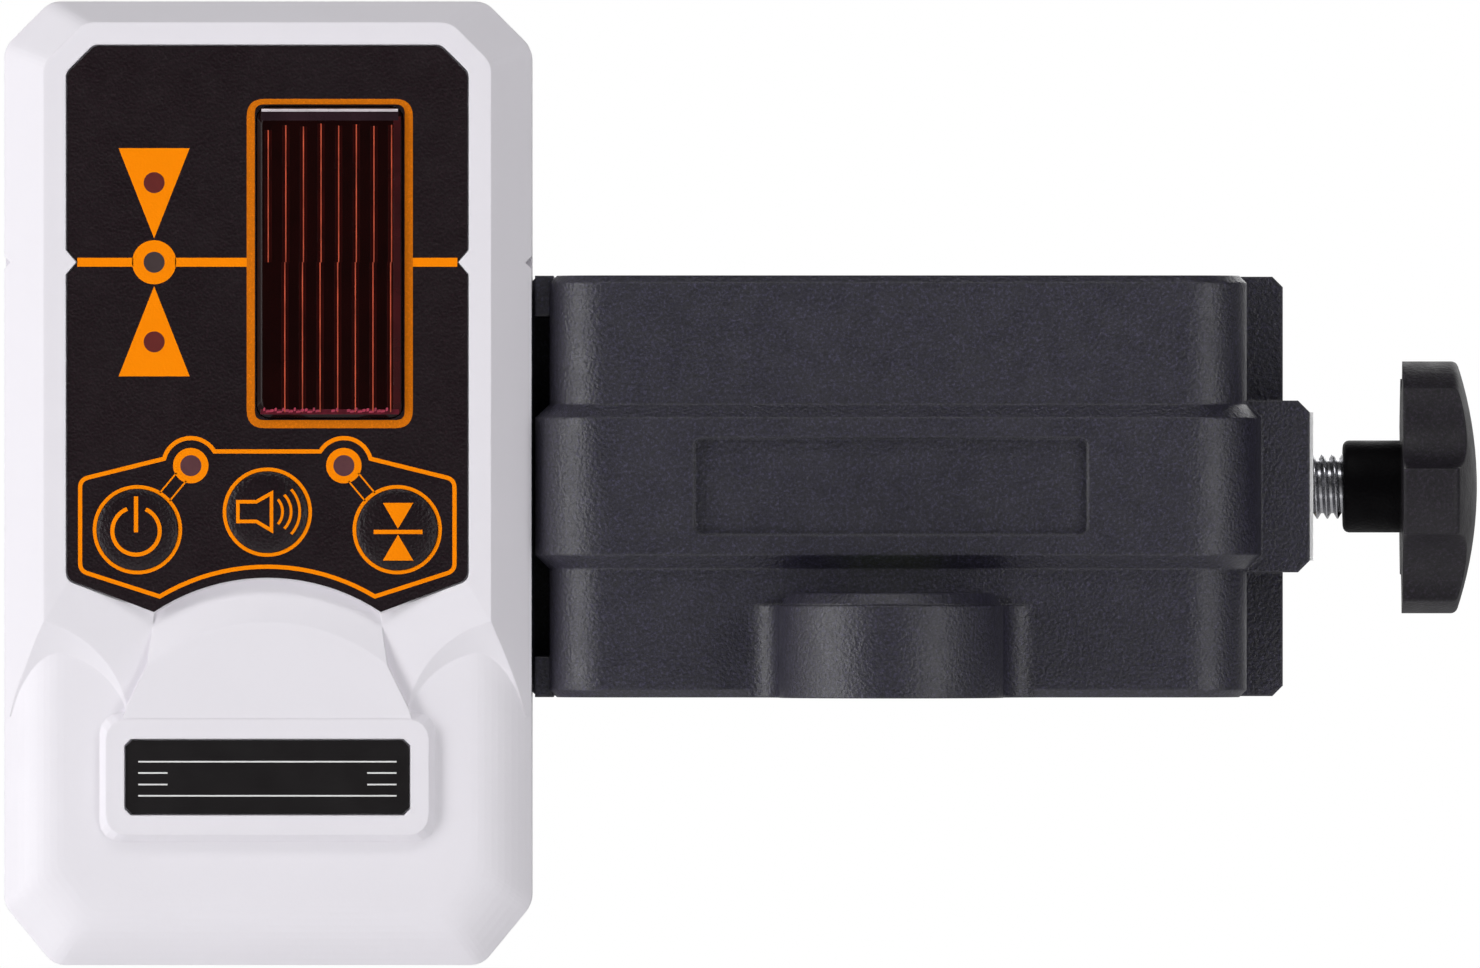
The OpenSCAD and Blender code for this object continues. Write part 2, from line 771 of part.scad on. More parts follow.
// Tongue with a round ridge under the panel, which runs down to the label frame.
module thumb_ridge() {
  flat = relief_front - ridge_inner_d;
  half = [
    [leg_tip_x + frame_draft, -frame_top_drop - 2 * frame_draft], [leg_tip_x, -leg_tip_drop],
    [leg_knee_x, -leg_knee_drop], [panel_tip_x, panel_tip_z], [panel_tip_x, -arch_drop]
  ];
  intersection() {
    translate([0, 0, -ridge_drop]) rotate([90, 0, 0]) rotate_extrude()
      polygon([
        [0, side_front], [0, flat], [ridge_r - ridge_inner_w, flat], [ridge_r, relief_front],
        [ridge_r + ridge_outer_w, soft_front], [ridge_r + ridge_outer_w, side_front]
      ]);
    slab(-half_d, -side_front) polygon(mirrored(half));
  }
}

// Raised frame around the label.
module label_frame() {
  outer = softened(box_points(frame_w, frame_h), frame_r);
  inner = softened(box_points(frame_w - 2 * frame_draft, frame_h - 2 * frame_draft), frame_r);
  difference() {
    translate([0, 0, -frame_drop])
      loft([ring(outer, -soft_front + bond), ring(outer, -soft_front), ring(inner, -relief_front)]);
    slab(-relief_front - overrun, -relief_front + recess_d) label_shape(0);
  }
}

module front_housing() {
  color(white_shell) at_receiver() difference() {
    union() {
      difference() {
        union() {
          slab(-side_front, 0) polygon(body_outline(0));
          upper_block();
          soft_face();
          thumb_ridge();
          label_frame();
        }
        slab(-side_front, overrun) polygon(body_outline(wall));
        slab(-shell_front, -side_front + bond) intersection() {
          polygon(body_outline(soft_w - wall));
          translate([-receiver_w / 2, -hollow_drop]) square([receiver_w, receiver_h]);
        }
      }
      for (spot = housing_spots) bar(spot, post_r, -shell_front - bond, 0);
      for (spot = board_spots) bar(spot, board_screw_r * 2, -shell_front - bond, -board_front);
    }
    slab(-half_d - overrun, 0) window_shape(fit_gap);
    for (spot = lamp_spots) bar(spot, lamp_r + fit_gap, -half_d - overrun, -board_front);
    for (spot = key_spots) bar(spot, key_r + slide_gap, -half_d - overrun, -board_front);
    for (spot = housing_spots) bar(spot, screw_r + run_gap, -shell_front + bond, overrun);
    for (spot = board_spots) bar(spot, board_screw_r + run_gap, -shell_front + bond, 0);
    for (side = [-1, 1])
      slab(-half_d - overrun, overrun)
        polygon([
          [side * (receiver_w / 2 + overrun), zero_z - notch_h * (1 + overrun / notch_d)],
          [side * (receiver_w / 2 - notch_d), zero_z],
          [side * (receiver_w / 2 + overrun), zero_z + notch_h * (1 + overrun / notch_d)]
        ]);
  }
}

// Bay for the cells, without its hollow.
module bay_box() {
  block(
    [-bay_w / 2 - bay_wall, bay_floor - bay_wall, -bay_drop - bay_h / 2 - bay_wall],
    [bay_w / 2 + bay_wall, half_d - bond, -bay_drop + bay_h / 2 + bay_wall]
  );
}

module rear_housing() {
  color(white_shell) at_receiver() difference() {
    union() {
      difference() {
        loft([
          ring(body_outline(rear_bevel), half_d),
          ring(body_outline(0), half_d - rear_bevel),
          ring(body_outline(0), 0)
        ]);
        slab(-overrun, rear_in) polygon(body_outline(wall));
      }
      bay_box();
      bar([0, 0], insert_boss_r, half_d - insert_l - wall, rear_in + bond);
      for (spot = housing_spots) bar(spot, rear_post_r, 0, rear_in + bond);
    }
    block(
      [-bay_w / 2, bay_floor, -bay_drop - bay_h / 2],
      [bay_w / 2, half_d + overrun, -bay_drop + bay_h / 2]
    );
    translate([0, hinge_y, hinge_z])
      rod(pin_r + run_gap, -bay_w / 2 - bay_wall + fit_gap, bay_w / 2 + bay_wall - fit_gap);
    bar([0, 0], insert_r + run_gap, half_d - insert_l, half_d + overrun);
    for (side = [-1, 1])
      bar([side * peg_pitch, 0], peg_r + fit_gap, half_d - peg_l - fit_gap, half_d + overrun);
    for (spot = housing_spots) {
      bar(spot, screw_r + fit_gap, -overrun, half_d);
      bar(spot, screw_head_r + slide_gap, half_d - counterbore_d, half_d + overrun);
    }
    for (k = [-1:1])
      bar([-buzzer_x, buzzer_z + k * sound_hole_pitch], sound_hole_r,
        rear_in - overrun, half_d + overrun);
    slab(-overrun, wall / 2) difference() {
      polygon(body_outline(wall / 3 - run_gap));
      polygon(body_outline(2 * wall / 3 + run_gap));
    }
  }
}

module housing_seal() {
  color([0.2, 0.2, 0.2]) at_receiver() slab(0, wall / 2 - run_gap) difference() {
    polygon(body_outline(wall / 3));
    polygon(body_outline(2 * wall / 3));
  }
}

module keypad_overlay() {
  color(black_film) at_receiver() slab(-panel_front, -recess_floor) difference() {
    polygon(panel_outline(fit_gap));
    window_shape(fit_gap);
    for (spot = lamp_spots) translate(spot) circle(lamp_hole_r);
    for (spot = key_spots) translate(spot) circle(key_r + slide_gap);
  }
}

module sensor_window() {
  front = half_d + window_rise;
  body = softened(box_points(window_w, window_h), window_r);
  face = softened(box_points(window_w - 2 * window_edge, window_h - 2 * window_edge), window_r);
  color([0.25, 0.03, 0.02]) at_receiver() {
    translate([window_x, 0, zero_z])
      loft([ring(body, -window_back), ring(body, -front + window_edge), ring(face, -front)]);
    slab(-shell_front, -window_back) window_shape(window_lip);
  }
}

// Key with a domed face, a lip behind the housing and a stem towards its switch.
module key(spot) {
  stem_end = board_front + switch_h + plunger_h + key_travel + run_gap;
  lip = shell_front - fit_gap;
  dome = [
    for (k = [0:arc_steps])
      let (a = 90 * k / arc_steps)
      [key_r * cos(a), panel_front + key_rise * sin(a)]
  ];
  side = [
    [0, stem_end], [key_stem_r, stem_end], [key_stem_r, lip - key_lip_t],
    [key_lip_r, lip - key_lip_t], [key_lip_r, lip], [key_r, lip]
  ];
  color(black_film) at_receiver() translate([spot.x, 0, spot.y]) rotate([90, 0, 0]) rotate_extrude()
    polygon(concat(side, dome));
}

module power_button() {
  key(key_spots[0]);
}

module sound_button() {
  key(key_spots[1]);
}

module sensitivity_button() {
  key(key_spots[2]);
}

// Lamp that stands on the board, with a domed tip behind the panel's opening.
module lamp(spot, tint) {
  tip = recess_floor - fit_gap;
  color(tint) at_receiver() {
    bar(spot, lamp_r, -tip + lamp_r, -board_front);
    translate([spot.x, -tip + lamp_r, spot.y]) sphere(lamp_r);
  }
}

module up_led() {
  lamp(lamp_spots[0], [0.35, 0.08, 0.06]);
}

module level_led() {
  lamp(lamp_spots[1], [0.15, 0.22, 0.22]);
}

module down_led() {
  lamp(lamp_spots[2], [0.35, 0.08, 0.06]);
}

module power_led() {
  lamp(lamp_spots[3], [0.35, 0.08, 0.06]);
}

module tone_led() {
  lamp(lamp_spots[4], [0.35, 0.08, 0.06]);
}

module label_plate() {
  floor = relief_front - recess_d;
  color([0.12, 0.11, 0.11]) at_receiver() slab(-floor - label_t, -floor) label_shape(fit_gap);
}

module circuit_board() {
  color([0.05, 0.3, 0.15]) at_receiver() slab(-board_front, -board_front + board_t) difference() {
    translate([-board_w / 2, -board_drop]) square([board_w, board_top + board_drop]);
    for (spot = board_spots) translate(spot) circle(board_screw_r + fit_gap);
  }
}

// Strip of light-collecting ribs on one side of the reference line.
module sensor_strip(side) {
  width = sensor_ribs * rib_pitch - rib_w;
  low = side > 0 ? zero_z + fit_gap : zero_z - fit_gap - sensor_h;
  color([0.16, 0.05, 0.04]) at_receiver() translate([window_x, 0, low]) {
    block([-width / 2, -board_front - sensor_d, 0], [width / 2, -board_front, sensor_h]);
    for (k = [0:sensor_ribs - 1])
      translate([(k - (sensor_ribs - 1) / 2) * rib_pitch, 0, 0])
        block([-rib_w / 2, -window_back + fit_gap, 0], [rib_w / 2, -board_front - sensor_d, sensor_h]);
  }
}

module upper_sensor() {
  sensor_strip(1);
}

module lower_sensor() {
  sensor_strip(-1);
}

module key_switches() {
  color([0.2, 0.2, 0.2]) at_receiver() for (spot = key_spots) {
    slab(-board_front - switch_h, -board_front)
      translate(spot - [switch_w, switch_w] / 2) square(switch_w);
    bar(spot, plunger_r, -board_front - switch_h - plunger_h, -board_front - switch_h);
  }
}

module buzzer() {
  back = -board_front + board_t;
  color([0.1, 0.1, 0.1]) at_receiver() difference() {
    bar([-buzzer_x, buzzer_z], buzzer_r, back, back + buzzer_h);
    bar([-buzzer_x, buzzer_z], sound_hole_r, back + buzzer_h / 2, back + buzzer_h + overrun);
  }
}

module board_screws() {
  back = -board_front + board_t;
  color("silver") at_receiver() for (spot = board_spots) {
    bar(spot, board_screw_r, -shell_front + overrun, back);
    bar(spot, board_screw_r * 2, back, back + board_screw_r);
  }
}

module housing_screws() {
  seat = half_d - counterbore_d;
  color("silver") at_receiver() for (spot = housing_spots) {
    bar(spot, screw_r, -shell_front + overrun, seat);
    bar(spot, screw_head_r, seat, seat + screw_head_h);
  }
}

module mount_insert() {
  color([0.78, 0.62, 0.3]) at_receiver() difference() {
    bar([0, 0], insert_r, half_d - insert_l, half_d);
    bar([0, 0], thumb_r + run_gap, half_d - insert_l - overrun, half_d + overrun);
  }
}

module battery_cells() {
  color([0.25, 0.27, 0.3]) at_receiver() for (side = [-1, 1])
    translate([0, cell_y, -bay_drop + side * (bay_h / 4)]) mirror([side > 0 ? 1 : 0, 0, 0]) {
      rod(cell_r, -cell_l / 2, cell_l / 2 - nub_l);
      rod(nub_r, cell_l / 2 - nub_l, cell_l / 2);
    }
}

// Contact plate with a bowed tongue towards a cell; turn selects the end of the bay.
module contact(turn, z) {
  reach = bay_w / 2 - cell_l / 2 - contact_t - fit_gap;
  mirror([turn > 0 ? 1 : 0, 0, 0]) translate([-bay_w / 2, cell_y, z]) {
    block([0, -contact_w / 2, -contact_w / 2], [contact_t, contact_w / 2, contact_w / 2]);
    intersection() {
      translate([contact_t + reach - contact_w / 4, 0, 0]) rotate([90, 0, 0])
        cylinder(r = contact_w / 4, h = contact_w / 2, center = true);
      block([contact_t, -contact_w / 4, -contact_w / 4], [contact_w / 4, contact_w / 4, contact_w / 4]);
    }
  }
}

module battery_contacts() {
  color("gainsboro") at_receiver() for (turn = [-1, 1]) for (side = [-1, 1])
    contact(turn, -bay_drop + side * bay_h / 4);
}

module battery_cover() {
  half = bay_w / 2 - slide_gap;
  top = -bay_drop + bay_h / 2 - slide_gap;
  color(white_shell) at_receiver() difference() {
    union() {
      block([-half, rear_in, hinge_z], [half, half_d, top]);
      translate([0, hinge_y, hinge_z]) rod(knuckle_r, -half, half);
    }
    translate([0, hinge_y, hinge_z]) rod(pin_r + 2 * run_gap, -half - overrun, half + overrun);
    translate([0, half_d + finger_r / 2, top]) rod(finger_r, -finger_w / 2, finger_w / 2);
  }
}

module cover_hinge_pin() {
  end = bay_w / 2 + bay_wall - 2 * fit_gap;
  color("silver") at_receiver() translate([0, hinge_y, hinge_z]) rod(pin_r, -end, end);
}

// Front of the clamp's C with its round corners and chamfered edges, without its hollow.
module clamp_block() {
  half = clamp_h / 2;
  side = half - clamp_edge;
  left = clamp_left + clamp_r;
  right = clamp_right - clamp_r;
  slab(clamp_front + clamp_r, clamp_back)
    polygon([
      [clamp_left, -side], [clamp_left + clamp_edge, -half], [clamp_right - clamp_edge, -half],
      [clamp_right, -side], [clamp_right, side], [clamp_right - clamp_edge, half],
      [clamp_left + clamp_edge, half], [clamp_left, side]
    ]);
  translate([left, clamp_front, 0]) rotate([90, 0, 90]) linear_extrude(right - left)
    polygon([
      [0, -side], [clamp_edge, -half], [clamp_d, -half], [clamp_d, half], [clamp_edge, half], [0, side]
    ]);
  for (x = [left, right])
    translate([x, clamp_front + clamp_r, 0]) {
      cylinder(r = clamp_r, h = 2 * side, center = true);
      translate([0, 0, side]) cylinder(r1 = clamp_r, r2 = clamp_r - clamp_edge, h = clamp_edge);
      translate([0, 0, -half]) cylinder(r1 = clamp_r - clamp_edge, r2 = clamp_r, h = clamp_edge);
    }
}

// Section of the raised band, from the wall outwards.
function band_section(base) =
  let (h = band_h / 2, top = h - band_bevel, skin = base + band_rise)
  [[base - bond, -h], [base, -h], [skin, -top], [skin, top], [base, h], [base - bond, h]];

module raised_band() {
  span = clamp_w - 2 * clamp_r;
  depth = arm_front - clamp_front - clamp_r;
  translate([clamp_left + clamp_r, clamp_front, 0]) rotate([90, 0, 90]) linear_extrude(span)
    polygon([for (p = band_section(0)) [-p.x, p.y]]);
  translate([clamp_left + clamp_r, clamp_front + clamp_r, 0]) rotate([0, 0, 180])
    rotate_extrude(angle = 90) polygon(band_section(clamp_r));
  translate([clamp_right - clamp_r, clamp_front + clamp_r, 0]) rotate([0, 0, 270])
    rotate_extrude(angle = 90) polygon(band_section(clamp_r));
  slab(clamp_front + clamp_r, clamp_front + clamp_r + depth) {
    polygon([for (p = band_section(0)) [clamp_left - p.x, p.y]]);
    polygon([for (p = band_section(0)) [clamp_right + p.x, p.y]]);
  }
}

// Flange with clipped outer corners; reach is negative on the left.
module flange(base, reach) {
  half = clamp_h / 2;
  cut = flange_chamfer * sign(reach);
  slab(arm_front, clamp_back)
    polygon([
      [base - bond * sign(reach), -half], [base + reach - cut, -half],
      [base + reach, -half + flange_chamfer], [base + reach, half - flange_chamfer],
      [base + reach - cut, half], [base - bond * sign(reach), half]
    ]);
}

// Boss around the nut, with clipped edges at its end.
module nut_boss() {
  half = boss_h / 2;
  tip = half - boss_chamfer;
  slab(-half, half)
    polygon([
      [clamp_right - bond, -half], [boss_end - boss_chamfer, -half], [boss_end, -tip],
      [boss_end, tip], [boss_end - boss_chamfer, half], [clamp_right - bond, half]
    ]);
}

// Round boss of the level, with concave flares where it meets the panel.
module level_boss() {
  tall = clamp_h / 2 - level_drop - bezel_h;
  root = level_offset - flare_w;
  translate([field_x, clamp_front - level_offset, -clamp_h / 2]) difference() {
    union() {
      cylinder(r = level_r, h = tall);
      block([-level_r, 0, 0], [level_r, level_offset + bond, tall]);
      block([-level_r - flare_w, root, 0], [level_r + flare_w, level_offset + bond, tall]);
    }
    for (side = [-1, 1])
      translate([side * (level_r + flare_w), root, -overrun])
        cylinder(r = flare_w, h = tall + 2 * overrun);
  }
}

// Arm that carries the receiver, with its locating pegs.
module receiver_arm() {
  half = arm_h / 2;
  translate([0, 0, receiver_lift]) {
    block([receiver_at.x, arm_front, -half], [clamp_left, clamp_back, half]);
    bar([receiver_at.x, 0], half, arm_front, clamp_back);
    for (side = [-1, 1])
      bar([receiver_at.x + side * peg_pitch, 0], peg_r, arm_front - peg_l, arm_front + bond);
  }
}

module clamp_frame() {
  half = clamp_h / 2;
  color(black_plastic) difference() {
    union() {
      clamp_block();
      raised_band();
      flange(clamp_right, flange_w);
      flange(clamp_left, -left_flange_w);
      for (z = [-half, half - rib_h])
        block(
          [clamp_left - rib_reach, clamp_front + clamp_r, z],
          [clamp_left + bond, clamp_back, z + rib_h]
        );
      nut_boss();
      level_boss();
      receiver_arm();
    }
    block(
      [jaw_wall_in, clamp_front_in, -half - overrun],
      [clamp_right_in, clamp_back + overrun, half + overrun]
    );
    slab(clamp_front - band_rise - overrun, clamp_front - band_rise + field_d)
      translate([field_x, 0]) polygon(softened(box_points(field_w, field_h), field_r));
    rod(stud_r + fit_gap, clamp_right_in - overrun, boss_end + overrun);
    translate([boss_end - nut_l - fit_gap, 0, 0]) rotate([0, 90, 0])
      cylinder(r = (nut_w / 2 + fit_gap) / cos(30), h = nut_l + overrun, $fn = 6);
    for (y = [-1, 1]) for (z = [-1, 1])
      translate([0, y * plate_screw_pitch, z * plate_screw_pitch])
        rod(plate_screw_r + run_gap, boss_end - plate_screw_l, boss_end + overrun);
    translate([field_x, clamp_front - level_offset, -level_drop - bezel_h - vial_h])
      cylinder(r = vial_r + fit_gap, h = vial_h + overrun);
    bar([receiver_at.x, receiver_lift], thumb_r + slide_gap, arm_front - overrun, clamp_back + overrun);
  }
}

// Rubber pad whose gripping face lies at x.
module grip_pad(x, side) {
  color([0.12, 0.12, 0.12]) translate([x, 0, 0]) rotate([90, 0, side * 90]) linear_extrude(pad_t)
    polygon(softened(box_points(pad_d, pad_h), pad_r));
}

module fixed_jaw_pad() {
  grip_pad(0, -1);
}

module pressure_pad() {
  grip_pad(staff_gap, 1);
}

module screw_nut() {
  color([0.78, 0.62, 0.3]) difference() {
    translate([boss_end - nut_l, 0, 0]) rotate([0, 90, 0])
      cylinder(r = nut_w / 2 / cos(30), h = nut_l, $fn = 6);
    rod(stud_r + run_gap, boss_end - nut_l - overrun, boss_end + overrun);
  }
}

module thrust_plate() {
  half = boss_h / 2 - boss_chamfer;
  color([0.85, 0.85, 0.87]) difference() {
    block([boss_end, -half, -half], [plate_end, half, half]);
    rod(stud_r + slide_gap, boss_end - overrun, plate_end + overrun);
    for (y = [-1, 1]) for (z = [-1, 1])
      translate([0, y * plate_screw_pitch, z * plate_screw_pitch])
        rod(plate_screw_r + run_gap, boss_end - overrun, plate_end + overrun);
  }
}

module plate_screws() {
  color("silver") for (y = [-1, 1]) for (z = [-1, 1])
    translate([0, y * plate_screw_pitch, z * plate_screw_pitch])
      rod(plate_screw_r, boss_end - plate_screw_l + run_gap, plate_end);
}

module pressure_jaw() {
  low = clamp_front_in + slide_gap;
  high = clamp_back - jaw_chamfer;
  color(black_plastic) difference() {
    translate([0, 0, -jaw_h / 2]) linear_extrude(jaw_h)
      polygon([
        [jaw_front, low], [jaw_rear - jaw_chamfer, low], [jaw_rear, low + jaw_chamfer],
        [jaw_rear, high - jaw_chamfer], [jaw_rear - jaw_chamfer, high], [jaw_front, high]
      ]);
    rod(journal_r + run_gap, jaw_front - overrun, jaw_rear + overrun);
    rod(chamber_r, jaw_front - overrun, chamber_end);
  }
}

module clamp_screw() {
  color([0.62, 0.62, 0.64]) {
    rod(stud_r, stud_shoulder, hub_start + knob_grip);
    rod(journal_r, clip_at + clip_t, stud_shoulder);
    rod(neck_r, clip_at, clip_at + clip_t);
    rod(journal_r, clip_at - clip_t, clip_at);
  }
}

module screw_clip() {
  color("silver") difference() {
    rod(clip_r, clip_at + run_gap, clip_at + clip_t - run_gap);
    rod(neck_r + run_gap, clip_at - overrun, clip_at + clip_t + overrun);
    block([clip_at - overrun, -neck_r, 0], [clip_at + clip_t + overrun, neck_r, clip_r + overrun]);
  }
}

module star_knob() {
  dome_r = (knob_r * knob_r + knob_dome * knob_dome) / (2 * knob_dome);
  dome_at = hub_l + knob_rim + knob_dome - dome_r;
  rise = asin(knob_r / dome_r);
  hub_edge = corner([0, 0], [hub_r, 0], [hub_r, hub_l], hub_round);
  dome = [
    for (k = [0:arc_steps])
      let (a = rise * (1 - k / arc_steps))
      [dome_r * sin(a), dome_at + dome_r * cos(a)]
  ];
  rim_edge = corner([knob_r, hub_l], dome[0], dome[1], rim_round);
  cap = [for (k = [1:arc_steps]) dome[k]];
  color([0.18, 0.17, 0.19]) difference() {
    translate([hub_start, 0, 0]) rotate([0, 90, 0]) rotate_extrude()
      polygon(concat([[0, 0]], hub_edge, [[hub_r, hub_l], [knob_r, hub_l]], rim_edge, cap));
    for (k = [0:knob_lobes - 1])
      rotate([lobe_angle + (k + 1 / 2) * 360 / knob_lobes, 0, 0])
        translate([0, -valley_r - valley_round, 0])
          rod(valley_round, knob_start - overrun, knob_end + overrun);
    rod(stud_r + run_gap, hub_start - overrun, hub_start + knob_grip + fit_gap);
  }
}

module mount_screw() {
  spot = [receiver_at.x, receiver_lift];
  seat = clamp_back + washer_t;
  color([0.16, 0.16, 0.17]) difference() {
    union() {
      bar(spot, thumb_r, arm_front - thumb_reach, seat + bond);
      bar(spot, thumb_head_r, seat, seat + thumb_head_h);
    }
    for (k = [0:thumb_grooves - 1])
      bar(spot + thumb_head_r * [cos(k * 360 / thumb_grooves), sin(k * 360 / thumb_grooves)],
        thumb_groove_r, seat - overrun / 2, seat + thumb_head_h + overrun);
  }
}

module mount_washer() {
  spot = [receiver_at.x, receiver_lift];
  color("silver") difference() {
    bar(spot, washer_r, clamp_back, clamp_back + washer_t);
    bar(spot, thumb_r + run_gap, clamp_back - overrun, clamp_back + washer_t + overrun);
  }
}

module level_vial() {
  color([0.75, 0.85, 0.3])
    translate([field_x, clamp_front - level_offset, -level_drop - bezel_h - vial_h])
      cylinder(r = vial_r, h = vial_h);
}

module level_bezel() {
  color(black_plastic) translate([field_x, clamp_front - level_offset, -level_drop - bezel_h])
    intersection() {
      difference() {
        cylinder(r1 = level_r * bezel_share, r2 = level_r * bezel_share - bezel_taper, h = bezel_h);
        translate([0, 0, -overrun]) cylinder(r = bezel_r, h = bezel_h + 2 * overrun);
      }
      block([-level_r, -level_r, 0], [level_r, level_offset - fit_gap, bezel_h]);
    }
}

front_housing();
rear_housing();
housing_seal();
keypad_overlay();
sensor_window();
power_button();
sound_button();
sensitivity_button();
up_led();
level_led();
down_led();
power_led();
tone_led();
label_plate();
circuit_board();
upper_sensor();
lower_sensor();
key_switches();
buzzer();
board_screws();
housing_screws();
mount_insert();
battery_cells();
battery_contacts();
battery_cover();
cover_hinge_pin();
clamp_frame();
fixed_jaw_pad();
screw_nut();
thrust_plate();
plate_screws();
pressure_jaw();
pressure_pad();
clamp_screw();
screw_clip();
star_knob();
mount_screw();
mount_washer();
level_vial();
level_bezel();
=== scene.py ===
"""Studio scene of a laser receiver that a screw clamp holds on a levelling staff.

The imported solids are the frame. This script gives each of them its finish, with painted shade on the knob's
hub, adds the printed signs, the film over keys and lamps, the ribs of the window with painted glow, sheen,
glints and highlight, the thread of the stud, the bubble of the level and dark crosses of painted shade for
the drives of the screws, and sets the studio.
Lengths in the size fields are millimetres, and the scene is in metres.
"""

import logging
import math
from dataclasses import dataclass, field, replace
from enum import Enum
from typing import Dict, List, Optional, Sequence, Tuple, Union

import bmesh
import bpy
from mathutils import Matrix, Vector


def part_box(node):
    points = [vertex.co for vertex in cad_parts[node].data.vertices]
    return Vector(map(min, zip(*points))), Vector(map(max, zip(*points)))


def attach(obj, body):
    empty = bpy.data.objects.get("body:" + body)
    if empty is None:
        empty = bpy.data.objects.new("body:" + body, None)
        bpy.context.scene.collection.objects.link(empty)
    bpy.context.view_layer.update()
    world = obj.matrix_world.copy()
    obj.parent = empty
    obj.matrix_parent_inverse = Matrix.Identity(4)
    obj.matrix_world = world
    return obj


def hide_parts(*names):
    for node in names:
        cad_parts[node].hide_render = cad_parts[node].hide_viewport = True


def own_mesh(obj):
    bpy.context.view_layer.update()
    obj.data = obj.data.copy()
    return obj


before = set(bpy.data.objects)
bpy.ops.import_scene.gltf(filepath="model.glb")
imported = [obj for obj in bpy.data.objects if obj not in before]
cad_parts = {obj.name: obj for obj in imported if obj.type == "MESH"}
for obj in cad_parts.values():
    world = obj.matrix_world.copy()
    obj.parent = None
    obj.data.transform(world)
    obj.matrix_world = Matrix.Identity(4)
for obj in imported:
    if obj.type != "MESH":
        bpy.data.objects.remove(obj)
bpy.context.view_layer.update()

MM = 0.001
ROOT = "receiver_on_clamp"
WELD = 1e-4
SMOOTH_DEG = 40.0
FULL_STEPS = 64
ROUND_STEPS = 40
ARCH_STEPS = 20
CURVE_STEPS = 14
RIM_STEPS = 12
BUBBLE_STEPS = 10
CORNER_STEPS = 6
SIGN_CUTS = 5
MITRE_LIMIT = 0.4
DRIVE_SHADE_THICK = 0.02

BEVEL_SAMPLES = 6
NOISE_DETAIL = 3.0
COAT_ROUGHNESS = 0.04
EDGE_BEND = (0.99, 0.85)
EDGE_PALE = 0.25
RUBBED_SHARE = 0.25
RUBBED_SPAN = (0.3, 0.7)
RUBBED_CHANGE = 0.12
BRUSH_SCALE = (0.05, 1.0, 1.0)
AROUND_X = (0.0, 1.0, 1.0)
SPECK_SHARE = 0.8
SPECK_TURN = (0.6, 0.4, 0.3)
SPECK_ROUGHNESS = 0.75
SPECK_LIGHT = 3.4
LIGHT_SPAN = (0.52, 0.72)
DARK_SPAN = (0.48, 0.28)

Point = Tuple[float, float]
Triple = Tuple[float, float, float]
Shade = Tuple[float, float, float, float]
Socket = bpy.types.NodeSocket
Input = Union[Socket, float, Triple, Shade]

WHITE: Shade = (1.0, 1.0, 1.0, 1.0)
log = logging.getLogger("laser_receiver")


class Grain(Enum):
    """Kind of relief that a surface has."""

    MOULDED = "moulded"
    LEATHER = "leather"
    BRUSHED = "brushed"
    SMOOTH = "smooth"


class Axis(Enum):
    """Axis of the frame, by its place in a vector."""

    X = 0
    Y = 1
    Z = 2


class Layer(Enum):
    """Layer of the window, by its share of the ink's thickness."""

    HALO = 0.1
    GLOW = 0.2
    # Layer of the painted glow at the foot and the painted sheen at the top.
    EDGE_LIGHT = 0.25
    RIB = 0.3
    GLINT = 0.4


def tinted(colour: Triple, factor: float = 1.0) -> Shade:
    """Return a colour with its brightness changed and an alpha of one."""
    return tuple(min(1.0, c * factor) for c in colour) + (1.0,)


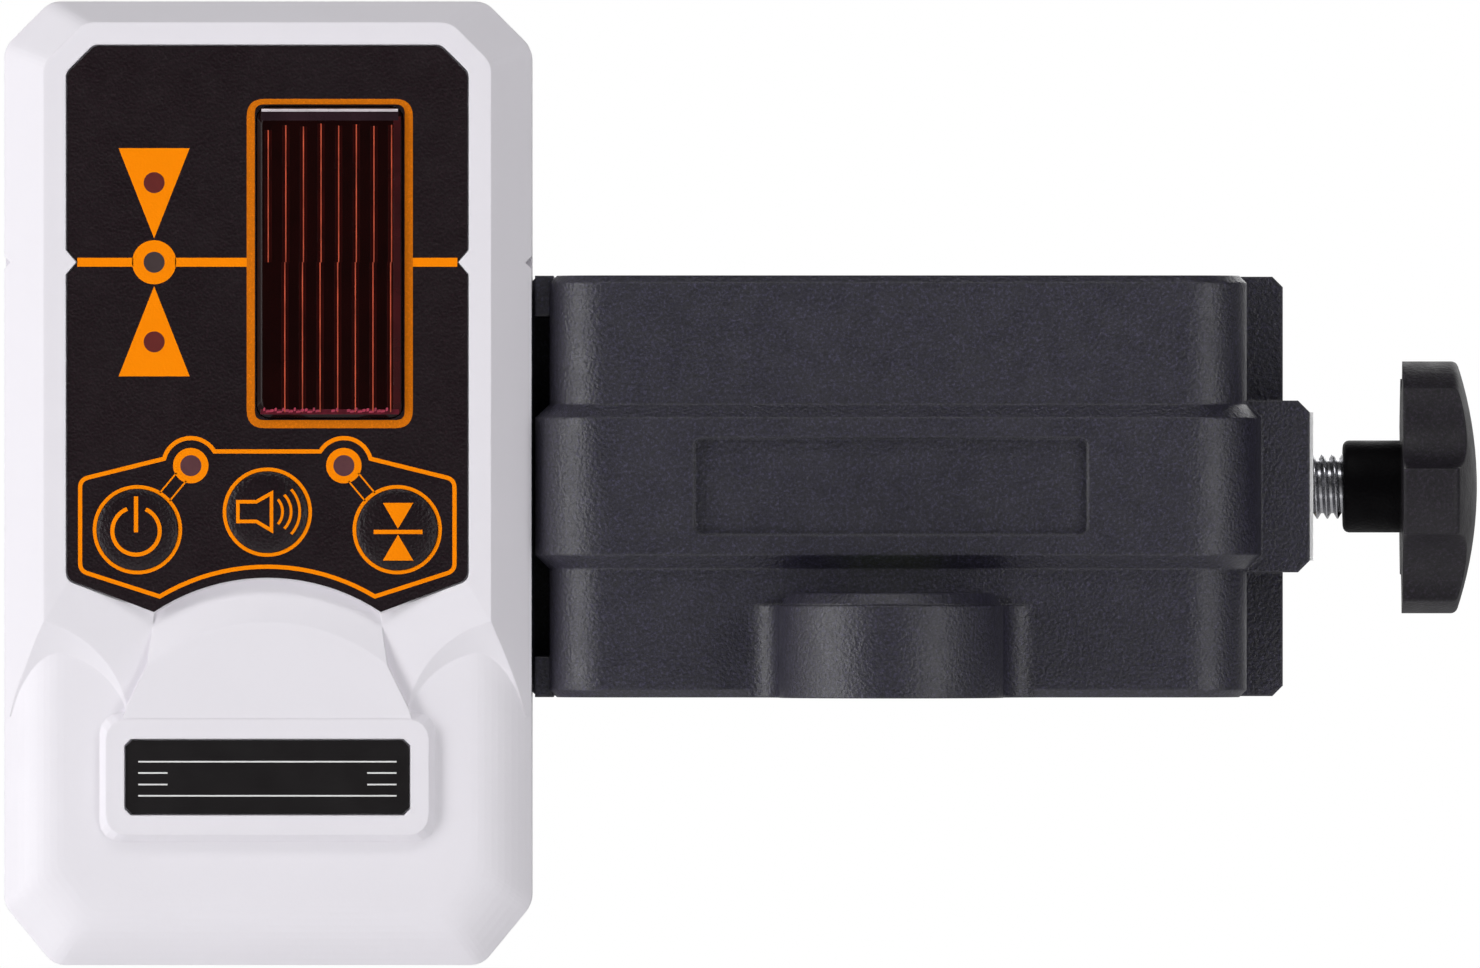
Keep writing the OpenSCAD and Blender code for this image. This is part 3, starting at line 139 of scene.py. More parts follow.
class Wiring:
    """Node tree that is filled from empty, with the place that its nodes share."""

    def __init__(self, owner: Union[bpy.types.Material, bpy.types.World], place: str = "Object") -> None:
        """Empty the owner's tree and add the place.

        Args:
            owner: Material or world.
            place: Kind of coordinate.
        """
        owner.use_nodes = True
        self.tree = owner.node_tree
        self.tree.nodes.clear()
        self.place = self.add("TexCoord").outputs[place]

    def add(self, kind: str, inputs: Optional[Dict[Union[str, int], Input]] = None,
            **options: Union[str, int]) -> bpy.types.Node:
        """Add a node.

        Args:
            kind: Type of the node without its common prefix.
            inputs: Constant or source for each input that isn't left as it is.
            options: Properties of the node, which are set first.

        Returns:
            The new node.
        """
        node = self.tree.nodes.new("ShaderNode" + kind)
        for option, value in options.items():
            setattr(node, option, value)
        for name, value in (inputs or {}).items():
            if isinstance(value, Socket):
                self.tree.links.new(value, node.inputs[name])
            else:
                node.inputs[name].default_value = value
        return node

    def mix(self, factor: Input, first: Input, second: Input) -> Socket:
        """Return the mixture of two colours."""
        node = self.add("Mix", {"Factor": factor, "A": first, "B": second}, data_type="RGBA")
        return node.outputs["Result"]

    def mix_shaders(self, factor: Input, first: bpy.types.Node, second: bpy.types.Node) -> bpy.types.Node:
        """Return the mixture of two shaders."""
        return self.add("MixShader", {"Fac": factor, 1: first.outputs[0], 2: second.outputs[0]})

    def ramp(self, value: Input, span: Point, ends: Point = (0.0, 1.0)) -> Socket:
        """Return a value of a span mapped to the two ends, and held there outside the span."""
        limits = {"From Min": span[0], "From Max": span[1], "To Min": ends[0], "To Max": ends[1]}
        return self.add("MapRange", {"Value": value, **limits}).outputs["Result"]

    def math(self, operation: str, *values: Input) -> Socket:
        """Return the result of a sum on values."""
        return self.add("Math", dict(enumerate(values)), operation=operation).outputs["Value"]

    def vector_math(self, operation: str, *values: Input) -> Socket:
        """Return the number that a sum on vectors gives."""
        return self.add("VectorMath", dict(enumerate(values)), operation=operation).outputs["Value"]

    def mapped(self, **change: Triple) -> Socket:
        """Return the place after a change of Scale or Rotation."""
        return self.add("Mapping", {"Vector": self.place, **change}).outputs["Vector"]

    def noise(self, size_mm: float, place: Optional[Socket] = None, roughness: float = 0.5) -> Socket:
        """Return a noise whose features are about size_mm wide."""
        inputs = {"Vector": place or self.place, "Scale": 1.0 / (size_mm * MM), "Detail": NOISE_DETAIL}
        return self.add("TexNoise", {**inputs, "Roughness": roughness}).outputs["Fac"]


@dataclass(frozen=True)
class Finish:
    """Look of one kind of surface, made into a procedural material."""

    name: str
    colour: Triple
    roughness: float = 0.5
    metallic: float = 0.0
    specular: float = 0.5
    coat: float = 0.0
    grain: Grain = Grain.MOULDED
    grain_mm: float = 0.35
    grain_depth: float = 0.12
    variation: float = 0.05
    patch_mm: float = 14.0
    edge_mm: float = 0.3
    wear: float = 0.12
    speckle: float = 0.0
    # Painted shade in a core near the X axis: radius, end along X, fade and the share of colour and gloss
    # kept.
    core_mm: float = 0.0
    core_end_mm: float = 0.0
    core_fade_mm: float = 0.5
    core_shade: float = 0.2

    def material(self) -> bpy.types.Material:
        """Build the material.

        Returns:
            The material with colour variation, worn edges, uneven gloss, relief and painted shade in its core
            where it has one.
        """
        made = bpy.data.materials.new(self.name)
        wires = Wiring(made)
        bevel = wires.add("Bevel", {"Radius": self.edge_mm * MM}, samples=BEVEL_SAMPLES)
        rounded = bevel.outputs["Normal"]
        colour = self._paint(wires, rounded)
        specular: Input = self.specular
        # Painted shade in the core: darker colour and weaker gloss.
        if self.core_mm > 0.0:
            shaded = self._shaded_core(wires)
            colour = wires.mix(shaded, colour, tinted(self.colour, self.core_shade))
            specular = wires.ramp(shaded, (0.0, 1.0), (self.specular, self.specular * self.core_shade))
        shader = wires.add("BsdfPrincipled", {
            "Base Color": colour,
            "Metallic": self.metallic,
            "Roughness": self._gloss(wires),
            "Specular IOR Level": specular,
            "Coat Weight": self.coat,
            "Coat Roughness": COAT_ROUGHNESS,
            "Normal": self._relief(wires, rounded),
        })
        wires.add("OutputMaterial", {"Surface": shader.outputs["BSDF"]})
        return made

    def _paint(self, wires: Wiring, rounded: Socket) -> Socket:
        """Add the colour with its patches, specks and worn edges.

        Args:
            wires: Wiring of the material.
            rounded: Normal with rounded edges.

        Returns:
            The colour.
        """
        patches = wires.noise(self.patch_mm)
        dark, light = tinted(self.colour, 1.0 - self.variation), tinted(self.colour, 1.0 + self.variation)
        colour = self._specks(wires, wires.mix(patches, dark, light))
        surface = wires.add("NewGeometry").outputs["Normal"]
        bend = wires.vector_math("DOT_PRODUCT", rounded, surface)
        pale = tinted(tuple((1.0 - EDGE_PALE) * c + EDGE_PALE for c in self.colour))
        return wires.mix(wires.ramp(bend, EDGE_BEND, (0.0, self.wear)), colour, pale)

    def _specks(self, wires: Wiring, colour: Socket) -> Socket:
        """Add fine light and dark specks to a colour.

        Args:
            wires: Wiring of the material.
            colour: Colour without specks.

        Returns:
            The colour with specks, or the same one for a finish that has none.
        """
        if self.speckle == 0.0:
            return colour
        turned = wires.mapped(Rotation=SPECK_TURN)
        fine = wires.noise(self.grain_mm * SPECK_SHARE, turned, SPECK_ROUGHNESS)
        light, dark = 1.0 + SPECK_LIGHT * self.speckle, 1.0 - self.speckle
        for span, factor in ((LIGHT_SPAN, light), (DARK_SPAN, dark)):
            colour = wires.mix(wires.ramp(fine, span), colour, tinted(self.colour, factor))
        return colour

    def _shaded_core(self, wires: Wiring) -> Socket:
        """Find the core of the piece near the X axis, which gets painted shade: darker colour and weaker
        gloss.

        Args:
            wires: Wiring of the material.

        Returns:
            One in the core and zero outside it.
        """
        radius = wires.vector_math("LENGTH", wires.mapped(Scale=AROUND_X))
        along = wires.add("SeparateXYZ", {"Vector": wires.place}).outputs["X"]
        near = []
        for value, limit in ((radius, self.core_mm), (along, self.core_end_mm)):
            near.append(wires.ramp(value, (limit * MM, (limit + self.core_fade_mm) * MM), (1.0, 0.0)))
        return wires.math("MULTIPLY", *near)

    def _gloss(self, wires: Wiring) -> Socket:
        """Add the roughness, which is a little uneven."""
        low, high = self.roughness * (1.0 - RUBBED_CHANGE), self.roughness * (1.0 + RUBBED_CHANGE)
        return wires.ramp(wires.noise(self.patch_mm * RUBBED_SHARE), RUBBED_SPAN, (low, min(1.0, high)))

    def _relief(self, wires: Wiring, rounded: Socket) -> Socket:
        """Add the relief of the surface.

        Args:
            wires: Wiring of the material.
            rounded: Normal with rounded edges.

        Returns:
            The normal with the relief.
        """
        if self.grain is Grain.SMOOTH:
            return rounded
        stretched = wires.mapped(Scale=BRUSH_SCALE) if self.grain is Grain.BRUSHED else None
        height = wires.noise(self.grain_mm, stretched)
        if self.grain is Grain.LEATHER:
            inputs = {"Vector": wires.place, "Scale": 1.0 / (self.grain_mm * MM)}
            cells = wires.add("TexVoronoi", inputs, feature="SMOOTH_F1")
            height = wires.math("ADD", cells.outputs["Distance"], height)
        bump = wires.add("Bump", {
            "Strength": self.grain_depth,
            "Distance": self.grain_mm * MM / 2,
            "Height": height,
            "Normal": rounded,
        })
        return bump.outputs["Normal"]


def window_layer(name: str, colour: Triple, roughness: float, variation: float, patch_mm: float,
                 **more: float) -> Finish:
    """Return the finish of a layer of the window."""
    return Finish(name, colour, roughness, grain=Grain.SMOOTH, variation=variation, patch_mm=patch_mm,
                  edge_mm=0.02, wear=0.0, **more)


def lamp_film(name: str, colour: Triple, variation: float) -> Finish:
    """Return the finish of the tinted film over a lamp."""
    return Finish(name, colour, 0.4, specular=0.3, grain=Grain.SMOOTH, variation=variation, patch_mm=0.8,
                  edge_mm=0.05)


WHITE_SHELL = Finish("white_shell", (0.80, 0.775, 0.825), grain_depth=0.05, variation=0.012, wear=0.05)
PANEL_FILM = Finish("panel_film", (0.0080, 0.0034, 0.0052), 0.37, specular=0.24, grain=Grain.LEATHER,
                    grain_mm=0.34, grain_depth=0.45, variation=0.2, edge_mm=0.12, speckle=0.4)
ORANGE_INK = Finish("orange_ink", (1.0, 0.252, 0.0), 0.6, specular=0.05, grain=Grain.LEATHER, grain_mm=0.3,
                    grain_depth=0.16, edge_mm=0.02, wear=0.0)
FRAME_INK = replace(ORANGE_INK, name="frame_ink", colour=(0.62, 0.155, 0.003), grain_depth=0.2,
                    variation=0.08, edge_mm=0.05, speckle=0.12)
WHITE_INK = Finish("white_ink", (0.75, 0.75, 0.75), grain_depth=0.05, edge_mm=0.02, wear=0.0)
RED_WINDOW = Finish("red_window", (0.0072, 0.0006, 0.0005), 0.06, specular=0.2, grain=Grain.SMOOTH,
                    variation=0.6, patch_mm=5.0, edge_mm=0.25, wear=0.0)
WINDOW_RIB = window_layer("window_rib", (0.46, 0.068, 0.028), 0.35, 0.95, 3.2)
# Soft red band around each rib: painted glow.
WINDOW_HALO = window_layer("window_halo", (0.017, 0.0011, 0.0008), 0.1, 0.9, 4.0, specular=0.2)
# Red band at the window's foot: painted glow.
WINDOW_FOOT_GLOW = window_layer("window_foot_glow", (0.085, 0.0060, 0.0140), 0.12, 0.95, 1.6)
# Dark purple band below the top edge: painted sheen of a reflection.
WINDOW_SHEEN = window_layer("window_sheen", (0.020, 0.0072, 0.012), 0.12, 0.8, 5.0)
# Pale pink lumps at the foot: painted glints.
WINDOW_GLINT = window_layer("window_glint", (0.36, 0.035, 0.07), 0.3, 0.7, 1.2)
# Pale metal bar along the window's top edge: a painted highlight.
WINDOW_HIGHLIGHT_BAR = window_layer("window_highlight_bar", (0.72, 0.66, 0.70), 0.3, 0.25, 2.5, metallic=0.8)
# Red strip along the right edge: painted glow.
WINDOW_GLOW = window_layer("window_glow", (0.034, 0.0026, 0.0036), 0.12, 0.6, 4.0)
RED_LAMP = lamp_film("red_lamp", (0.118, 0.0165, 0.014), 0.15)
STATUS_LAMP = lamp_film("status_lamp", (0.098, 0.036, 0.042), 0.2)
LEVEL_LAMP = lamp_film("level_lamp", (0.052, 0.0345, 0.0355), 0.15)
LABEL = Finish("label", (0.0054, 0.0041, 0.0047), 0.38, specular=0.32, grain_depth=0.08, variation=0.1,
               edge_mm=0.1)
CLAMP_PLASTIC = Finish("clamp_plastic", (0.0112, 0.0100, 0.0198), 0.45, specular=0.6, grain_mm=0.44,
                       grain_depth=0.6, variation=0.12, edge_mm=0.45, wear=0.03, speckle=0.95)
# The knob's hub, between the nut boss and the knob's disc, gets painted shade through its core.
KNOB_PLASTIC = Finish("knob_plastic", (0.0070, 0.0052, 0.0088), 0.56, specular=0.34, grain_mm=0.46,
                      grain_depth=0.4, variation=0.12, edge_mm=0.6, wear=0.03, speckle=0.95, core_mm=6.0,
                      core_end_mm=98.1)
STUD_STEEL = Finish("stud_steel", (0.36, 0.36, 0.38), 0.26, metallic=1.0, grain_mm=0.15, grain_depth=0.06,
                    variation=0.08, patch_mm=3.0, edge_mm=0.06)
PLATE_STEEL = Finish("plate_steel", (0.95, 0.95, 0.96), 0.55, metallic=0.4, grain=Grain.BRUSHED,
                     grain_mm=0.2, edge_mm=0.1)
SCREW_STEEL = Finish("screw_steel", (0.5, 0.5, 0.51), 0.34, metallic=1.0, grain_mm=0.2, grain_depth=0.05,
                     edge_mm=0.1)
# Dark crosses on screw heads: painted shade in place of the drives' recesses.
DRIVE_SHADE = Finish("drive_shade", (0.02, 0.02, 0.022), 0.7, grain_mm=0.2, grain_depth=0.1, edge_mm=0.05,
                     wear=0.0)
BRASS = Finish("brass", (0.62, 0.42, 0.16), 0.3, metallic=1.0, grain=Grain.BRUSHED, grain_mm=0.2, edge_mm=0.1)
GRIP_RUBBER = Finish("grip_rubber", (0.014, 0.014, 0.014), 0.82, grain_mm=0.6, grain_depth=0.3)
SEAL_RUBBER = Finish("seal_rubber", (0.02, 0.02, 0.02), 0.7, grain_mm=0.4, edge_mm=0.1)
THUMB_METAL = Finish("thumb_metal", (0.02, 0.02, 0.022), 0.4, metallic=0.4, grain_mm=0.25, edge_mm=0.15,
                     wear=0.2)
BOARD = Finish("board", (0.015, 0.11, 0.045), 0.3, coat=0.4, grain_mm=1.2, variation=0.3, patch_mm=4.0,
               edge_mm=0.05)
SENSOR = Finish("sensor", (0.05, 0.01, 0.008), 0.15, coat=0.5, grain=Grain.SMOOTH, edge_mm=0.05)
BLACK_COMPONENT = Finish("black_component", (0.018, 0.018, 0.018), edge_mm=0.1)
CELL_JACKET = Finish("cell_jacket", (0.05, 0.06, 0.07), 0.25, coat=0.6, grain_mm=0.8, grain_depth=0.04)
CONTACT_METAL = Finish("contact_metal", (0.62, 0.62, 0.6), 0.28, metallic=1.0, grain=Grain.BRUSHED,
                       edge_mm=0.05)
VIAL_FLUID = Finish("vial_fluid", (0.20, 0.26, 0.06), 0.12, coat=0.8, grain=Grain.SMOOTH, variation=0.2,
                    edge_mm=0.1)
PALE_BUBBLE = Finish("pale_bubble", (0.72, 0.85, 0.42), 0.08, coat=1.0, grain=Grain.SMOOTH, edge_mm=0.05)


class Workshop:
    """Makes each material once, paints the solids and fits new pieces."""

    def __init__(self) -> None:
        """Start with no material."""
        self._made: Dict[str, bpy.types.Material] = {}

    def paint(self, piece: bpy.types.Object, finish: Finish) -> None:
        """Give a piece one finish all over.

        Args:
            piece: Object to paint.
            finish: Finish of the surface.
        """
        if finish.name not in self._made:
            self._made[finish.name] = finish.material()
        material = self._made[finish.name]
        if not piece.material_slots:
            piece.data.materials.append(material)
        for slot in piece.material_slots:
            slot.material = material

    def paint_nodes(self, finish: Finish, *nodes: str) -> None:
        """Give solids of the frame one finish.

        Args:
            finish: Finish of the surface.
            nodes: Names of the solids.
        """
        for node in nodes:
            self.paint(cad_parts[node], finish)
            log.info("finish %s on %s", finish.name, node)

    def fit(self, piece: bpy.types.Object, finish: Finish, slot: str, body: str = ROOT) -> None:
        """Paint a new piece and let it ride on a body.

        Args:
            piece: New piece.
            finish: Finish of the piece.
            slot: Not used.
            body: Body that carries the piece.
        """
        self.paint(piece, finish)
        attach(piece, body)
        log.info("piece %s", piece.name)


def add_object(name: str, mesh: bmesh.types.BMesh, smooth: bool = False) -> bpy.types.Object:
    """Turn a mesh into an object of the scene.

    Args:
        name: Name of the piece.
        mesh: Finished mesh, which is freed.
        smooth: Whether flat edges are shaded smooth.

    Returns:
        The new object.
    """
    bmesh.ops.recalc_face_normals(mesh, faces=mesh.faces)
    if smooth:
        for face in mesh.faces:
            face.smooth = True
        for edge in mesh.edges:
            if len(edge.link_faces) == 2:
                edge.smooth = edge.calc_face_angle() < math.radians(SMOOTH_DEG)
    data = bpy.data.meshes.new(name)
    mesh.to_mesh(data)
    mesh.free()
    return add_to_scene(name, data)


def add_to_scene(name: str, data: bpy.types.ID) -> bpy.types.Object:
    """Put a mesh, a lamp or a camera into the scene.

    Args:
        name: Name of the object.
        data: What the object holds.

    Returns:
        The new object.
    """
    made = bpy.data.objects.new(name, data)
    bpy.context.scene.collection.objects.link(made)
    return made


def arc(centre: Point, r: float, first: float, last: float, steps: int) -> List[Point]:
    """Return points of an arc.

    Args:
        centre: Centre of the arc.
        r: Radius.
        first: First angle in degrees.
        last: Last angle in degrees.
        steps: Number of steps.

    Returns:
        The points, ends included.
    """
    turns = [math.radians(first + (last - first) * k / steps) for k in range(steps + 1)]
    return [(centre[0] + r * math.cos(t), centre[1] + r * math.sin(t)) for t in turns]


def bow(half: float, rise: float) -> Point:
    """Return the radius of an arc and half its angle in degrees, from half its chord and its rise."""
    r = (half * half + rise * rise) / (2 * rise)
    return r, math.degrees(math.asin(half / r))


def dome_profile(r: float, rise: float, steps: int) -> List[Point]:
    """Return the profile of a dome from its rim to its top."""
    return [(r * c, rise * s) for c, s in arc((0.0, 0.0), 1.0, 0.0, 90.0, steps)]


def softened(points: Sequence[Point], r: float) -> List[Point]:
    """Return a closed outline with round corners.

    Args:
        points: Corners of the outline.
        r: Radius of the corners.

    Returns:
        The points of the rounded outline, one more than CORNER_STEPS for each corner.
    """
    made: List[Point] = []
    for k, corner in enumerate(points):
        here = Vector(corner)
        u = (Vector(points[k - 1]) - here).normalized()
        v = (Vector(points[(k + 1) % len(points)]) - here).normalized()
        reach = r / math.tan(u.angle(v) / 2)
        for s in range(CORNER_STEPS + 1):
            t = s / CORNER_STEPS
            a = here + u * reach * (1 - t)
            b = here + v * reach * t
            made.append(tuple(a + (b - a) * t))
    return made


def rectangle(low: Point, high: Point) -> List[Point]:
    """Return the corners of a rectangle from its lower left to its upper left."""
    return [low, (high[0], low[1]), high, (low[0], high[1])]


def revolved(profile: Sequence[Point], steps: int, axis: Axis) -> bmesh.types.BMesh:
    """Return a body of revolution around an axis through the origin.

    Args:
        profile: Radius and place along the axis, from one end to the other, in millimetres.
        steps: Steps around the axis.
        axis: Axis of the body.

    Returns:
        The mesh in metres.
    """
    mesh = bmesh.new()
    rings: List[List[bmesh.types.BMVert]] = []
    for r, along in profile:
        ring = []
        for k in range(steps if r > WELD else 1):
            turn = 2 * math.pi * k / steps
            place = [r * MM * math.cos(turn), r * MM * math.sin(turn)]
            place.insert(axis.value, along * MM)
            ring.append(mesh.verts.new(place))
        rings.append(ring)
    for low, high in zip(rings, rings[1:]):
        for k in range(steps):
            n = (k + 1) % steps
            corners = [low[k % len(low)], low[n % len(low)], high[n % len(high)], high[k % len(high)]]
            mesh.faces.new(list(dict.fromkeys(corners)))
    return mesh


def centre_of(node: str) -> Vector:
    """Return the middle of a solid's box."""
    low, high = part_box(node)
    return (low + high) / 2


@dataclass
class Face:
    """Flat face that carries print; its measures are millimetres from its middle."""

    middle: Point
    front: float
    axis: Axis = Axis.Y
    outward: int = -1

    def height(self, x: float, z: float) -> float:
        """Return how far the surface stands out at a place, in millimetres."""
        return 0.0

    def point(self, x: float, z: float, lift: float) -> Vector:
        """Return the place of a point over the face.

        Args:
            x: Millimetres from the middle along X, or along Y on a face across X.
            z: Millimetres above the middle.
            lift: Millimetres out of the surface.

        Returns:
            The point in the scene.
        """
        place = [self.middle[0] + x * MM, self.middle[1] + z * MM]
        place.insert(self.axis.value, self.front + self.outward * (lift + self.height(x, z)) * MM)
        return Vector(place)


@dataclass(kw_only=True)
class Dome(Face):
    """Domed face of a key."""

    radius: float
    rise: float

    def height(self, x: float, z: float) -> float:
        """Return how far the dome stands out at a place, in millimetres."""
        share = min(1.0, (x * x + z * z) / (self.radius * self.radius))
        return self.rise * math.sqrt(1.0 - share)


class Print:
    """Signs printed on a face, gathered as flat outlines in millimetres."""

    def __init__(self, *outlines: Sequence[Point]) -> None:
        """Start with some outlines or with an empty sheet."""
        self.outlines: List[Sequence[Point]] = list(outlines)

    def polygon(self, points: Sequence[Point]) -> None:
        """Add a filled outline."""
        self.outlines.append(points)

    def stroke(self, points: Sequence[Point], width: float, closed: bool = False) -> None:
        """Add a line of even width along points.

        Args:
            points: Middle of the line.
            width: Width of the line.
            closed: Whether the end joins the start.
        """
        count = len(points)
        left: List[Point] = []
        right: List[Point] = []
        for k in range(count):
            here = Vector(points[k])
            a = (here - Vector(points[k - 1])).normalized() if closed or k > 0 else None
            b = (Vector(points[(k + 1) % count]) - here).normalized() if closed or k < count - 1 else None
            along = ((a or b) + (b or a)).normalized()
            stretch = 1.0 / max(MITRE_LIMIT, along.dot(b or a))
            across = Vector((-along.y, along.x)) * (width / 2 * stretch)
            left.append(tuple(here + across))
            right.append(tuple(here - across))
        for k in range(count if closed else count - 1):
            n = (k + 1) % count
            self.outlines.append([left[k], right[k], right[n], left[n]])

    def between(self, outer: Sequence[Point], inner: Sequence[Point]) -> None:
        """Add the band between two closed outlines of as many points."""
        for k in range(len(outer)):
            self.outlines.append([outer[k - 1], inner[k - 1], inner[k], outer[k]])

    def ring(self, centre: Point, outer: float, inner: float) -> None:
        """Add a flat ring."""
        middle = (outer + inner) / 2
        self.stroke(arc(centre, middle, 0.0, 360.0, FULL_STEPS)[:-1], outer - inner, closed=True)

    def disc(self, centre: Point, r: float) -> None:
        """Add a filled disc."""
        self.polygon(arc(centre, r, 0.0, 360.0, ROUND_STEPS)[:-1])

    def build(self, name: str, face: Face, thick: float, cuts: int = 0) -> bpy.types.Object:
        """Make the print as a thin layer on a face.

        Args:
            name: Name of the piece.
            face: Face that carries the print.
            thick: Thickness of the layer in millimetres.
            cuts: Cuts of each edge, for a face that is not flat.

        Returns:
            The new object.
        """
        mesh = bmesh.new()
        for outline in self.outlines:
            mesh.faces.new([mesh.verts.new((x, 0.0, z)) for x, z in outline])
        bmesh.ops.remove_doubles(mesh, verts=mesh.verts, dist=WELD)
        if cuts:
            bmesh.ops.triangulate(mesh, faces=[f for f in mesh.faces if len(f.verts) > 4])
            bmesh.ops.subdivide_edges(mesh, edges=mesh.edges, cuts=cuts, use_grid_fill=True)
        lower = list(mesh.verts)
        grown = bmesh.ops.extrude_face_region(mesh, geom=mesh.faces)
        upper = [item for item in grown["geom"] if isinstance(item, bmesh.types.BMVert)]
        for verts, lift in ((lower, 0.0), (upper, thick)):
            for vert in verts:
                vert.co = face.point(vert.co.x, vert.co.z, lift)
        return add_object(name, mesh)


def head_spots(node: str, axis: Axis) -> List[Point]:
    """Return the middles of the four heads of a node's screws.

    Args:
        node: Name of the screws' solid.
        axis: Axis of the screws, X or Y.

    Returns:
        The middles across the axis, in millimetres.
    """
    middle = centre_of(node)
    across = (1 - axis.value, Axis.Z.value)
    heads: Dict[Tuple[bool, ...], List[Vector]] = {}
    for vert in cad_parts[node].data.vertices:
        heads.setdefault(tuple(vert.co[k] > middle[k] for k in across), []).append(vert.co)
    spots = []
    for head in heads.values():
        sides = [[place[k] / MM for place in head] for k in across]
        spots.append(tuple((min(side) + max(side)) / 2 for side in sides))
    return spots


def paint_drive_shade(shop: Workshop, node: str, axis: Axis, length: float) -> None:
    """Paint dark crosses on the heads of four screws, painted shade in place of their cross recesses.

    Args:
        shop: Workshop that fits the marks.
        node: Name of the screws' solid.
        axis: Axis of the screws, X or Y.
        length: Length of each bar of the cross in millimetres.
    """
    reach, half = length / 2, length / 8
    sheet = Print()
    for x, z in head_spots(node, axis):
        cross: List[Point] = []
        for c, s in ((1, 0), (0, 1), (-1, 0), (0, -1)):
            for u, v in ((reach, -half), (reach, half), (half, half)):
                cross.append((x + c * u - s * v, z + s * u + c * v))
        sheet.polygon(cross)
    face = Face((0.0, 0.0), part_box(node)[1][axis.value], axis, outward=1)
    shop.fit(sheet.build(node.replace("screws", "drive_shades"), face, DRIVE_SHADE_THICK), DRIVE_SHADE, "screw_steel")


@dataclass
class FrontPart:
    """Part of the receiver's front; its places are millimetres from the front's middle."""

    shop: Workshop
    ink: float = 0.03
    lamp_r: float = 1.29

    def __post_init__(self) -> None:
        """Take the middle of the front and its panel from the frame."""
        middle = centre_of("front_housing")
        self.middle: Point = (middle.x, middle.z)
        self.panel = self.face_of("keypad_overlay")

    def face_of(self, node: str) -> Face:
        """Return the front face of a solid."""
        return Face(self.middle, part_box(node)[0].y)

    def from_middle(self, place: Vector) -> Point:
        """Return where a place of the scene lies on the front."""
        return ((place.x - self.middle[0]) / MM, (place.z - self.middle[1]) / MM)

    def spot(self, node: str) -> Point:
        """Return where a solid's middle lies on the front."""
        return self.from_middle(centre_of(node))

    def print_on_panel(self, sheet: Print, name: str, look: Finish) -> None:
        """Fit a print on the panel."""
        self.shop.fit(sheet.build(name, self.panel, self.ink), look, "panel_film")


